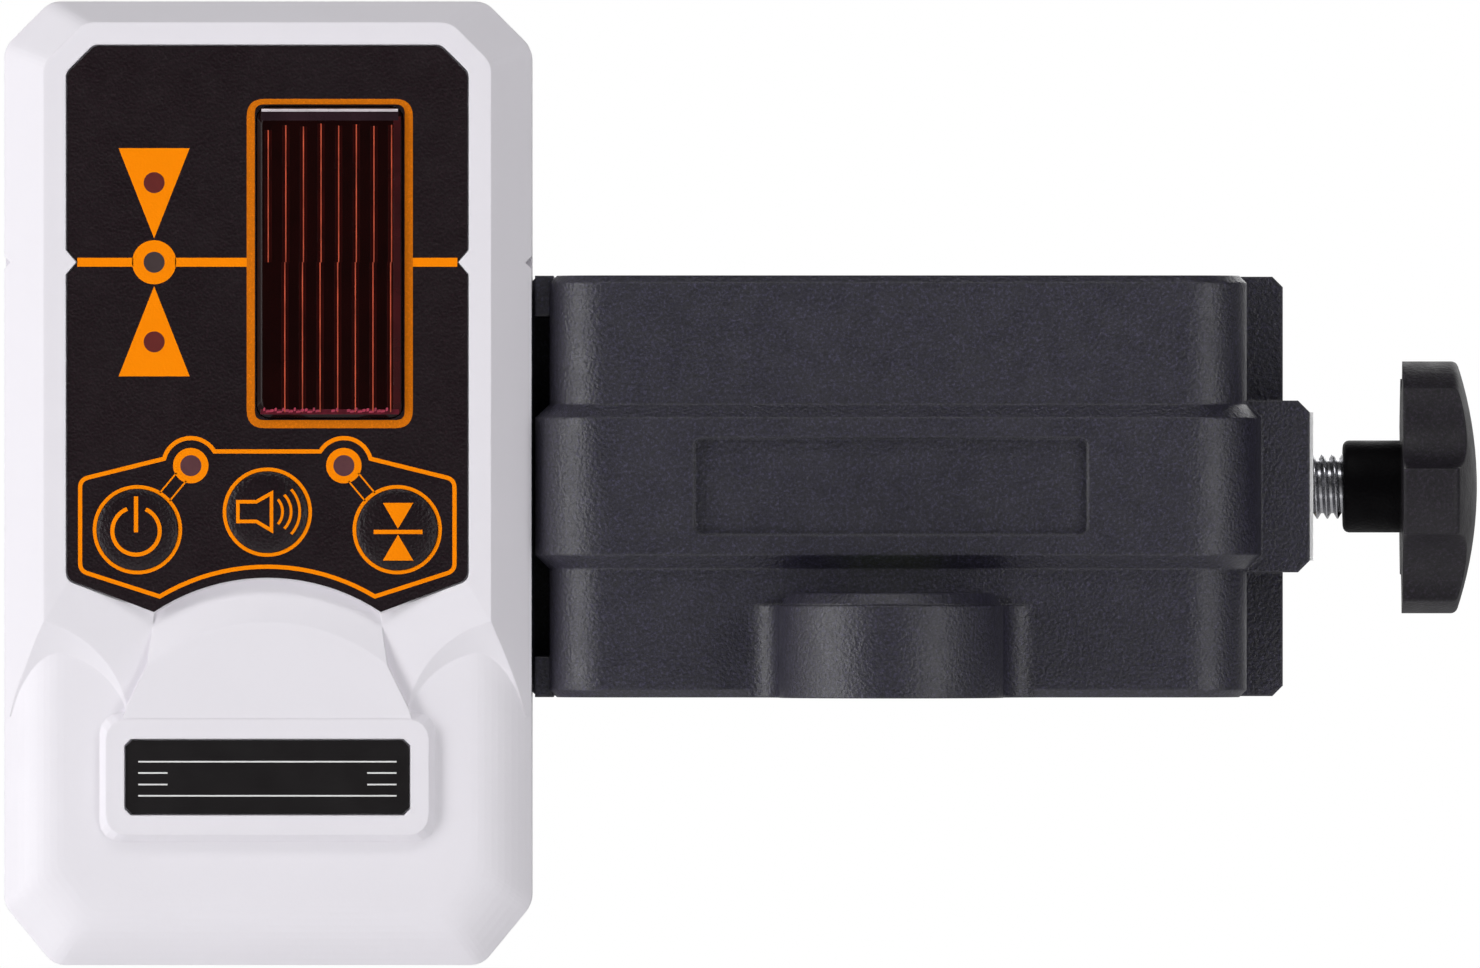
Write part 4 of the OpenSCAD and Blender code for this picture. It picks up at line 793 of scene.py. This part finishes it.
@dataclass
class Window(FrontPart):
    """Window with its printed frame, its ribs and the painted light on the glass."""

    lip: float = 1.6
    frame_w: float = 1.28
    frame_top_w: float = 0.96
    frame_gap: float = 0.28
    frame_r: float = 2.2
    frame_inner_r: float = 0.8
    rib_w: float = 0.13
    # Width of the painted glow around each rib.
    halo_w: float = 0.9
    rib_pitch: float = 2.17
    rib_side: float = 1.38
    rib_step: float = 0.12
    rib_margin: Point = (2.1, 0.7)
    rib_tops: Tuple[float, ...] = (0.8, 0.2, 0.35, 0.0, 0.25, 0.1, 0.3, 0.15)
    # Painted glow along the right edge: width, gap to the side and ends.
    glow_w: float = 1.1
    glow_side: float = 0.2
    glow_ends: Point = (0.6, 1.2)
    # Rows of the painted glow band and of the painted glints at the foot.
    foot_glow_rows: Point = (0.42, 1.05)
    sheen_rows: Point = (0.5, 1.7)
    glints: Tuple[Point, ...] = ((0.9, 8.3), (9.4, 10.6), (11.3, 16.9))
    lump: Tuple[Point, ...] = ((-1 / 2, -1 / 2), (1 / 3, -1 / 3), (1 / 2, 1 / 3), (0, 1 / 2), (-1 / 2, 1 / 4))
    lump_pitch: float = 0.47
    lump_size: float = 0.42
    lump_grow: Point = (0.6, 1.15)
    lump_wave: Point = (2.4, 5.0)
    # Bar of pale metal along the top edge, a painted highlight: inset, radius and drop.
    highlight_inset: float = 0.55
    highlight_r: float = 0.2
    highlight_drop: float = 0.45

    def __post_init__(self) -> None:
        """Take the glass and the edges inside its lip from the frame."""
        super().__post_init__()
        self.glass = self.face_of("sensor_window")
        (left, foot), (right, top) = (self.from_middle(corner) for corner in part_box("sensor_window"))
        self.left, self.right = left + self.lip, right - self.lip
        self.foot, self.top = foot + self.lip, top - self.lip

    def print_frame(self) -> None:
        """Print the frame, which is narrower at its top."""
        left, right, foot, top = self.left, self.right, self.foot, self.top
        side, over, gap = self.frame_w, self.frame_top_w, self.frame_gap
        outer = rectangle((left - side, foot - side), (right + side, top + over))
        inner = rectangle((left - gap, foot - gap), (right + gap, top + gap))
        sheet = Print()
        sheet.between(softened(outer, self.frame_r), softened(inner, self.frame_inner_r + gap))
        self.print_on_panel(sheet, "frame_print", FRAME_INK)

    def build(self) -> None:
        """Add the ribs and painted light: glows, sheen, glints and a highlight bar."""
        left, right, foot, top = self.left, self.right, self.foot, self.top
        low, high = self.foot_glow_rows
        near, deep = self.sheen_rows
        below, above = self.glow_ends
        # Painted light on the glass: a glow band along the foot, a sheen below the top and a glow along the
        # right edge.
        base = Print(rectangle((left + low, foot + low), (right - low, foot + high)))
        sheen = Print(rectangle((left + near, top - deep), (right - near, top - near)))
        glow = Print(rectangle((right - self.glow_w, foot + below), (right - self.glow_side, top - above)))
        for name, sheet, look, layer in (
            ("window_foot_glow", base, WINDOW_FOOT_GLOW, Layer.EDGE_LIGHT),
            ("window_sheen", sheen, WINDOW_SHEEN, Layer.EDGE_LIGHT),
            ("window_halos", self.draw_ribs(self.halo_w), WINDOW_HALO, Layer.HALO),
            ("window_glow", glow, WINDOW_GLOW, Layer.GLOW),
            ("window_ribs", self.draw_ribs(self.rib_w), WINDOW_RIB, Layer.RIB),
            ("window_glints", self.draw_glints(), WINDOW_GLINT, Layer.GLINT),
        ):
            self.shop.fit(sheet.build(name, self.glass, self.ink * layer.value), look, "red_window")
        # Painted highlight: a bar of pale metal along the top edge.
        self.shop.fit(self.rim(), WINDOW_HIGHLIGHT_BAR, "red_window")

    def draw_ribs(self, width: float) -> Print:
        """Draw the ribs, which step sideways at the zero line; the first has no lower half.

        Args:
            width: Width of the lines.

        Returns:
            The sheet with the lines.
        """
        sheet = Print()
        zero = self.spot("level_led")[1]
        for k, drop in enumerate(self.rib_tops):
            x = self.left + self.rib_side + k * self.rib_pitch
            sheet.stroke([(x, self.top - self.rib_margin[0] - drop), (x, zero)], width)
            if k:
                x -= self.rib_step
                sheet.stroke([(x, zero), (x, self.foot + self.rib_margin[1])], width)
        return sheet

    def draw_glints(self) -> Print:
        """Draw the rows of small lumps at the foot, painted glints.

        Returns:
            The sheet with the lumps.
        """
        sheet = Print()
        low, high = self.foot_glow_rows
        pace, shift = self.lump_wave
        for first, last in self.glints:
            for k in range(int((last - first) / self.lump_pitch)):
                wave = 0.5 + 0.5 * math.sin(k * pace + first * shift)
                x = self.left + first + k * self.lump_pitch
                z = self.foot + high - wave * (high - low) / 2
                w = self.lump_size * (self.lump_grow[0] + wave)
                h = self.lump_size * (self.lump_grow[1] - wave / 2)
                sheet.polygon([(x + u * w, z + v * h) for u, v in self.lump])
        return sheet

    def rim(self) -> bpy.types.Object:
        """Make the rounded bar of pale metal along the upper edge, a painted highlight.

        Returns:
            The new object.
        """
        mesh = bmesh.new()
        points = arc((self.top - self.highlight_drop, -self.highlight_r / 2), self.highlight_r, 0.0, 180.0, RIM_STEPS)
        sections = []
        for x in (self.left + self.highlight_inset, self.right - self.highlight_inset):
            sections.append([mesh.verts.new(self.glass.point(x, z, lift)) for z, lift in points])
            mesh.faces.new(sections[-1])
        for k in range(len(points)):
            mesh.faces.new([sections[0][k - 1], sections[1][k - 1], sections[1][k], sections[0][k]])
        return add_object("window_highlight_bar", mesh, smooth=True)


@dataclass(kw_only=True)
class Indicator(FrontPart):
    """Printed reference line, with the triangles and the ring of the middle lamp."""

    window: Window
    line_w: float = 1.1
    line_x: float = 23.4
    ring_r: float = 2.71
    ring_overlap: float = 0.1375
    triangle_half: float = 4.38
    triangle_h: float = 11.1
    triangle_gap: float = 2.95

    def build(self) -> None:
        """Print the indicator."""
        sheet = Print()
        x, zero = self.spot("level_led")
        ring = self.ring_r - self.ring_overlap
        left, right = self.window.left - self.window.frame_w, self.window.right + self.window.frame_w
        for first, last in ((-self.line_x, x - ring), (x + ring, left), (right, self.line_x)):
            sheet.stroke([(first, zero), (last, zero)], self.line_w)
        sheet.ring((x, zero), self.ring_r, self.lamp_r)
        for side in (1, -1):
            tip = zero + side * self.triangle_gap
            base = tip + side * self.triangle_h
            sheet.polygon([(x, tip), (x - self.triangle_half, base), (x + self.triangle_half, base)])
        self.print_on_panel(sheet, "indicator_print", ORANGE_INK)


@dataclass
class KeySign:
    """One key: its solid, its joint and the sheet with its sign, in millimetres from its middle."""

    node: str
    joint: str
    sheet: Print = field(default_factory=Print)


@dataclass
class Keypad(FrontPart):
    """Keys with their film and signs, and the lines printed around them."""

    line_w: float = 0.52
    hair_w: float = 0.2
    status_ring: float = 2.18
    link_apart: float = 0.78
    key_ring: float = 5.5
    pad_x: float = 23.05
    pad_high: float = 0.45
    pad_low: float = -10.8
    pad_r: float = 1.3
    bump_r: float = 3.4
    bump_out: Point = (12.75, 3.02)
    bump_in: Point = (6.33, 4.02)
    tip: Point = (13.25, -13.95)
    arch_top: float = -10.28
    film_r: float = 5.06
    film_rise: float = 0.75
    film_keep: float = 0.3
    power_middle: Point = (-0.16, -0.15)
    power_r: float = 2.92
    power_turn: Point = (112.0, 426.0)
    power_w: float = 0.5
    power_bar: Point = (4.1, -0.33)
    horn: Tuple[Point, ...] = ((-3.62, 1.28), (-1.35, 1.28), (0.52, 2.33), (0.52, -2.25), (-1.35, -1.14),
                               (-3.62, -1.14))
    horn_w: float = 0.44
    waves: Tuple[Triple, ...] = ((1.32, 1.52, 0.56), (2.1, 2.08, 0.84), (2.95, 2.75, 1.05))
    wave_z: float = 0.05
    wave_w: float = 0.34
    cone_sides: Triple = (-1.77, 0.1, 1.99)
    cones: Tuple[Point, Point] = ((0.12, 3.3), (-0.6, -3.8))
    zero_bar: Triple = (-2.9, 3.12, -0.27)

    def print_lines(self) -> None:
        """Print the outline around the keys, the rings of the keys and of the status lamps."""
        sheet = Print()
        sheet.stroke(self.outline(), self.line_w, closed=True)
        for lamp, key in (("power_led", "power_button"), ("tone_led", "sensitivity_button")):
            self.print_status(sheet, Vector(self.spot(lamp)), Vector(self.spot(key)))
        for key in ("power_button", "sound_button", "sensitivity_button"):
            sheet.ring(self.spot(key), self.key_ring, self.key_ring - self.line_w)
        self.print_on_panel(sheet, "keypad_print", ORANGE_INK)

    def print_status(self, sheet: Print, lamp: Vector, key: Vector) -> None:
        """Print a status lamp's ring and the two hair lines to its key.

        Args:
            sheet: Print that takes the lines.
            lamp: Middle of the lamp.
            key: Middle of the key.
        """
        sheet.ring(tuple(lamp), self.status_ring, self.lamp_r)
        along = (key - lamp).normalized()
        across = Vector((-along.y, along.x)) * self.link_apart
        start = math.sqrt(self.status_ring**2 - self.link_apart**2) - self.hair_w
        end = (key - lamp).length - math.sqrt(self.key_ring**2 - self.link_apart**2) + self.hair_w
        for side in (1, -1):
            sheet.stroke([tuple(lamp + across * side + along * t) for t in (start, end)], self.hair_w)

    def outline(self) -> List[Point]:
        """Return the closed outline around the keys.

        Returns:
            The points of the arch below, the right side and the left side.
        """
        lamp = self.spot("tone_led")
        ends = (self.bump_out, self.bump_in)
        first, last = (math.degrees(math.atan2(z - lamp[1], x - lamp[0])) for x, z in ends)
        r, spread = bow(self.tip[0], self.arch_top - self.tip[1])
        arch = arc((0.0, self.arch_top - r), r, 90.0 + spread, 90.0 - spread, ARCH_STEPS)
        corners = [self.tip, (self.pad_x, self.pad_low), (self.pad_x, self.pad_high), self.bump_out]
        each = CORNER_STEPS + 1
        shoulder = softened(corners, self.pad_r)[each:3 * each]
        right = shoulder + arc(lamp, self.bump_r, first, last, CURVE_STEPS)
        return arch + right + [(-x, z) for x, z in reversed(right)]

    def signs(self) -> List[KeySign]:
        """Draw the signs of the keys.

        Returns:
            The keys from left to right.
        """
        power = KeySign("power_button", "power_press")
        circle = arc(self.power_middle, self.power_r, *self.power_turn, ROUND_STEPS)
        power.sheet.stroke(circle, self.power_w)
        power.sheet.stroke([(self.power_middle[0], z) for z in self.power_bar], self.line_w)
        sound = KeySign("sound_button", "sound_press")
        sound.sheet.stroke(self.horn, self.horn_w, closed=True)
        for x, half, rise in self.waves:
            r, spread = bow(half, rise)
            wave = arc((x + rise - r, self.wave_z), r, -spread, spread, CURVE_STEPS)
            sound.sheet.stroke(wave, self.wave_w)
        sense = KeySign("sensitivity_button", "sensitivity_press")
        first, last, z = self.zero_bar
        sense.sheet.stroke([(first, z), (last, z)], self.line_w)
        left, middle, right = self.cone_sides
        for tip, base in self.cones:
            sense.sheet.polygon([(middle, tip), (left, base), (right, base)])
        return [power, sound, sense]

    def build(self) -> None:
        """Cover each key with domed film and its sign."""
        for sign in self.signs():
            centre = centre_of(sign.node)
            dome = Dome((centre.x, centre.z), self.panel.front, radius=self.film_r, rise=self.film_rise)
            profile = dome_profile(self.film_r, -self.film_rise, CURVE_STEPS)
            mesh = revolved(profile, FULL_STEPS, Axis.Y)
            bmesh.ops.translate(mesh, verts=mesh.verts, vec=dome.point(0.0, 0.0, -self.film_rise))
            film = add_object(sign.node + "_film", mesh, smooth=True)
            printed = sign.sheet.build(sign.node + "_sign", dome, self.ink, cuts=SIGN_CUTS)
            for piece, look in ((film, PANEL_FILM), (printed, ORANGE_INK)):
                self.shop.fit(piece, look, "panel_film")
                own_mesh(piece)


@dataclass
class Label(FrontPart):
    """Label with plain lines."""

    line_w: float = 0.19
    half_w: float = 15.9
    long_z: float = 2.1
    short_z: float = 0.71
    short_l: float = 3.6
    shift: float = -0.2

    def build(self) -> None:
        """Print two long lines, and two short ones at each end."""
        z = self.spot("label_plate")[1] + self.shift
        sheet = Print()
        for side in (1, -1):
            far = z + side * self.long_z
            near = z + side * self.short_z
            sheet.stroke([(-self.half_w, far), (self.half_w, far)], self.line_w)
            for end in (1, -1):
                inner = end * (self.half_w - self.short_l)
                sheet.stroke(sorted([(end * self.half_w, near), (inner, near)]), self.line_w)
        self.shop.fit(sheet.build("label_lines", self.face_of("label_plate"), self.ink), WHITE_INK, "label")


@dataclass
class Receiver(FrontPart):
    """Receiver with its printed panel, its lamps, its keys, its window and its label."""

    lamp_film_share: float = 1.6
    housing_drive: float = 3.4

    def dress(self) -> None:
        """Give the receiver's solids their finishes."""
        paint = self.shop.paint_nodes
        paint(WHITE_SHELL, "front_housing", "rear_housing", "battery_cover")
        paint(PANEL_FILM, "keypad_overlay", "power_button", "sound_button", "sensitivity_button")
        paint(RED_WINDOW, "sensor_window")
        paint(RED_LAMP, "up_led", "down_led", "power_led", "tone_led")
        paint(LEVEL_LAMP, "level_led")
        paint(LABEL, "label_plate")
        paint(BOARD, "circuit_board")
        paint(SENSOR, "upper_sensor", "lower_sensor")
        paint(BLACK_COMPONENT, "key_switches", "buzzer")
        paint(SCREW_STEEL, "board_screws", "housing_screws", "cover_hinge_pin")
        paint(BRASS, "mount_insert")
        paint(CELL_JACKET, "battery_cells")
        paint(CONTACT_METAL, "battery_contacts")
        paint(SEAL_RUBBER, "housing_seal")

    def build(self) -> None:
        """Add the print, the films, the ribs and painted light of the window and dark crosses of painted
        shade on the screws.
        """
        window, keypad = Window(self.shop), Keypad(self.shop)
        Indicator(shop=self.shop, window=window).build()
        window.print_frame()
        keypad.print_lines()
        self.cover_lamps()
        keypad.build()
        window.build()
        Label(self.shop).build()
        paint_drive_shade(self.shop, "housing_screws", Axis.Y, self.housing_drive)

    def cover_lamps(self) -> None:
        """Close the openings over the lamps with tinted film."""
        for node, look, slot in (
            ("up_led", RED_LAMP, "red_lamp"), ("down_led", RED_LAMP, "red_lamp"),
            ("power_led", STATUS_LAMP, "red_lamp"), ("tone_led", STATUS_LAMP, "red_lamp"),
            ("level_led", LEVEL_LAMP, "level_lamp"),
        ):
            sheet = Print()
            sheet.disc(self.spot(node), self.lamp_r)
            film = sheet.build(node + "_film", self.panel, self.ink * self.lamp_film_share)
            self.shop.fit(film, look, slot)


@dataclass
class Clamp:
    """Staff clamp with its threaded stud, its knob and its level."""

    shop: Workshop
    pitch: float = 1.25
    root_r: float = 3.32
    thread_gap: float = 0.15
    thread_profile: Tuple[Tuple[float, bool], ...] = ((0.0, False), (0.12, False), (0.44, True), (0.56, True),
                                                      (0.88, False))
    turn_steps: int = 28
    journal_r: float = 3.0
    neck_r: float = 2.3
    bubble_r: float = 2.6
    bubble_h: float = 0.5
    circle_r: float = 3.6
    circle_w: float = 0.35
    circle_h: float = 0.06
    plate_drive: float = 1.3

    def dress(self) -> None:
        """Give the clamp's solids their finishes."""
        paint = self.shop.paint_nodes
        paint(CLAMP_PLASTIC, "clamp_frame", "pressure_jaw", "level_bezel")
        paint(KNOB_PLASTIC, "star_knob")
        paint(GRIP_RUBBER, "fixed_jaw_pad", "pressure_pad")
        paint(BRASS, "screw_nut")
        paint(PLATE_STEEL, "thrust_plate")
        paint(SCREW_STEEL, "plate_screws", "screw_clip", "mount_washer")
        paint(STUD_STEEL, "clamp_screw")
        paint(THUMB_METAL, "mount_screw")
        paint(VIAL_FLUID, "level_vial")

    def build(self) -> None:
        """Add the thread of the stud, the bubble of the level and dark crosses of painted shade on the
        plate's screws.
        """
        self.thread_stud()
        self.fill_level()
        paint_drive_shade(self.shop, "plate_screws", Axis.X, self.plate_drive)

    def thread_stud(self) -> None:
        """Replace the plain stud by one with its thread."""
        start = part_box("pressure_jaw")[1].x + self.thread_gap * MM
        stud, core = self.thread(start), self.stud_core(start)
        for piece in (stud, core):
            self.shop.fit(piece, STUD_STEEL, "stud_steel", "knob_and_screw")
        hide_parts("clamp_screw")

    def thread(self, start: float) -> bpy.types.Object:
        """Make the thread, which is cut off square at the end of the stud.

        Args:
            start: Start of the thread in metres.

        Returns:
            The new object.
        """
        low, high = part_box("clamp_screw")
        crest, root, pitch = (high.z - low.z) / 2, self.root_r * MM, self.pitch * MM
        mesh = bmesh.new()
        rows = []
        for k in range(math.ceil((high.x - start) / pitch) * self.turn_steps + 1):
            angle = 2 * math.pi * k / self.turn_steps
            base = start + pitch * k / self.turn_steps
            row = []
            for share, on_crest in self.thread_profile:
                r = crest if on_crest else root
                x = min(base + share * pitch, high.x)
                row.append(mesh.verts.new((x, r * math.cos(angle), r * math.sin(angle))))
            rows.append(row)
        for k, (row, beside) in enumerate(zip(rows, rows[1:])):
            for m in range(len(row) - 1):
                mesh.faces.new([row[m], beside[m], beside[m + 1], row[m + 1]])
            if k + self.turn_steps + 1 < len(rows):
                above, after = rows[k + self.turn_steps], rows[k + self.turn_steps + 1]
                mesh.faces.new([row[-1], beside[-1], after[0], above[0]])
        bmesh.ops.remove_doubles(mesh, verts=mesh.verts, dist=WELD * MM)
        return add_object("threaded_stud", mesh, smooth=True)

    def stud_core(self, start: float) -> bpy.types.Object:
        """Make the plain core of the stud with its journal and clip groove.

        Args:
            start: Start of the thread in metres.

        Returns:
            The new object.
        """
        first, last = (corner.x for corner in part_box("clamp_screw"))
        clip, clip_end = (corner.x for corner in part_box("screw_clip"))
        profile = [(0.0, first / MM)]
        for r, low, high in ((self.journal_r, first, clip), (self.neck_r, clip, clip_end),
                             (self.journal_r, clip_end, start), (self.root_r, start, last)):
            profile += [(r, low / MM), (r, high / MM)]
        profile.append((0.0, last / MM))
        return add_object("stud_core", revolved(profile, ROUND_STEPS, Axis.X), smooth=True)

    def fill_level(self) -> None:
        """Add the bubble of the level and the circle around it."""
        place = centre_of("level_vial")
        place.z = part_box("level_vial")[1].z
        rim = self.circle_r + self.circle_w
        bubble = dome_profile(self.bubble_r, self.bubble_h, BUBBLE_STEPS)
        circle = [(self.circle_r, 0.0), (self.circle_r, self.circle_h), (rim, self.circle_h), (rim, 0.0)]
        for name, profile, steps, look, slot in (
            ("level_bubble", bubble, ROUND_STEPS, PALE_BUBBLE, "vial"),
            ("level_circle", circle, FULL_STEPS, LABEL, "label"),
        ):
            mesh = revolved(profile, steps, Axis.Z)
            bmesh.ops.translate(mesh, verts=mesh.verts, vec=place)
            self.shop.fit(add_object(name, mesh, smooth=True), look, slot)


@dataclass
class Lamp:
    """One soft box of the studio, in metres and watts."""

    name: str
    place: Triple
    width: float
    height: float
    power: float


@dataclass
class Studio:
    """Floor, light and camera, in metres."""

    target: Triple = (0.0165, -0.018, 0.0003)
    view_w: float = 0.18227
    distance: float = 4.0
    sensor: float = 36.0
    far_clip: float = 100.0
    floor_drop: float = 0.64
    floor_half: float = 30.0
    floor_colour: Triple = (0.86, 0.86, 0.87)
    floor_glow: float = 0.4
    floor_fade: Point = (0.8, 3.0)
    room: float = 0.09
    sweep: Point = (0.7, 0.95)
    lamps: List[Lamp] = field(default_factory=lambda: [
        Lamp("key_box", (-0.88, -0.51, 0.02), 0.32, 1.1, 7.5),
        Lamp("side_box", (0.73, -0.71, 0.02), 0.35, 1.1, 4.1),
        Lamp("edge_box", (-1.02, 0.05, 0.0), 0.35, 1.1, 1.5),
        Lamp("top_strip", (0.0, -0.51, 0.88), 0.9, 0.2, 3.3),
        Lamp("low_strip", (-0.10, -0.58, -0.58), 0.9, 0.2, 0.8),
        Lamp("back_box", (0.25, 0.95, 0.45), 0.9, 0.6, 4.0),
    ])

    def build(self) -> None:
        """Set up the floor, the world, the lamps and the camera."""
        bpy.context.scene.view_settings.view_transform = "Standard"
        self.lay_floor()
        self.light_world()
        for lamp in self.lamps:
            self.hang(lamp)
        self.set_camera()

    def lay_floor(self) -> None:
        """Lay a pale floor that is seen from above only."""
        mesh = bmesh.new()
        half = self.floor_half
        corners = rectangle((-half, -half), (half, half))
        mesh.faces.new([mesh.verts.new((x, y, -self.floor_drop)) for x, y in corners])
        floor = add_object("floor", mesh)
        floor.data.materials.append(self.floor_material())

    def floor_material(self) -> bpy.types.Material:
        """Build the matt material of the floor.

        Returns:
            The material, which glows a little in metal and glass and fades to white for the camera.
        """
        made = bpy.data.materials.new("pale_floor")
        wires = Wiring(made)
        matt = wires.add("BsdfDiffuse", {"Color": tinted(self.floor_colour)})
        pale = wires.add("Emission", {"Color": WHITE})
        away = wires.vector_math("LENGTH", wires.place)
        path = wires.add("LightPath").outputs
        glow = wires.ramp(away, self.floor_fade, (self.floor_glow, 1.0))
        share = wires.math("MULTIPLY", glow, path["Is Camera Ray"])
        for ray in ("Is Glossy Ray", "Is Transmission Ray"):
            share = wires.math("MULTIPLY_ADD", path[ray], self.floor_glow, share)
        below = wires.add("NewGeometry").outputs["Backfacing"]
        clear = wires.add("BsdfTransparent")
        both = wires.mix_shaders(below, wires.mix_shaders(share, matt, pale), clear)
        wires.add("OutputMaterial", {"Surface": both.outputs["Shader"]})
        return made

    def light_world(self) -> None:
        """Make a white sweep behind the object and a dim room in front, with white for the camera."""
        world = bpy.data.worlds.new("studio")
        bpy.context.scene.world = world
        wires = Wiring(world, "Generated")
        white = wires.add("Background", {"Color": WHITE})
        room = wires.add("Background", {"Color": WHITE, "Strength": self.room})
        axes = wires.add("SeparateXYZ", {"Vector": wires.place})
        behind = wires.ramp(axes.outputs["Y"], self.sweep)
        camera = wires.add("LightPath").outputs["Is Camera Ray"]
        both = wires.mix_shaders(wires.math("MAXIMUM", camera, behind), room, white)
        wires.add("OutputWorld", {"Surface": both.outputs["Shader"]})

    def hang(self, lamp: Lamp) -> None:
        """Hang one soft box that faces the object.

        Args:
            lamp: Soft box to hang.
        """
        data = bpy.data.lights.new(lamp.name, "AREA")
        data.shape = "RECTANGLE"
        data.size = lamp.width
        data.size_y = lamp.height
        data.energy = lamp.power
        made = add_to_scene(lamp.name, data)
        made.location = lamp.place
        sight = Vector(self.target) - Vector(lamp.place)
        made.rotation_euler = sight.to_track_quat("-Z", "Y").to_euler()
        made.visible_camera = False

    def set_camera(self) -> None:
        """Set the camera far in front with a long lens."""
        data = bpy.data.cameras.new("camera")
        data.sensor_width = self.sensor
        data.lens = self.sensor * self.distance / self.view_w
        data.clip_end = self.far_clip
        made = add_to_scene("camera", data)
        made.location = Vector(self.target) - Vector((0.0, self.distance, 0.0))
        made.rotation_euler = (math.pi / 2, 0.0, 0.0)
        bpy.context.scene.camera = made


def main() -> None:
    """Build the dressed model and its studio."""
    logging.basicConfig(level=logging.INFO)
    shop = Workshop()
    for part in (Receiver(shop), Clamp(shop)):
        part.dress()
        part.build()
    Studio().build()


if __name__ == "__main__":
    main()
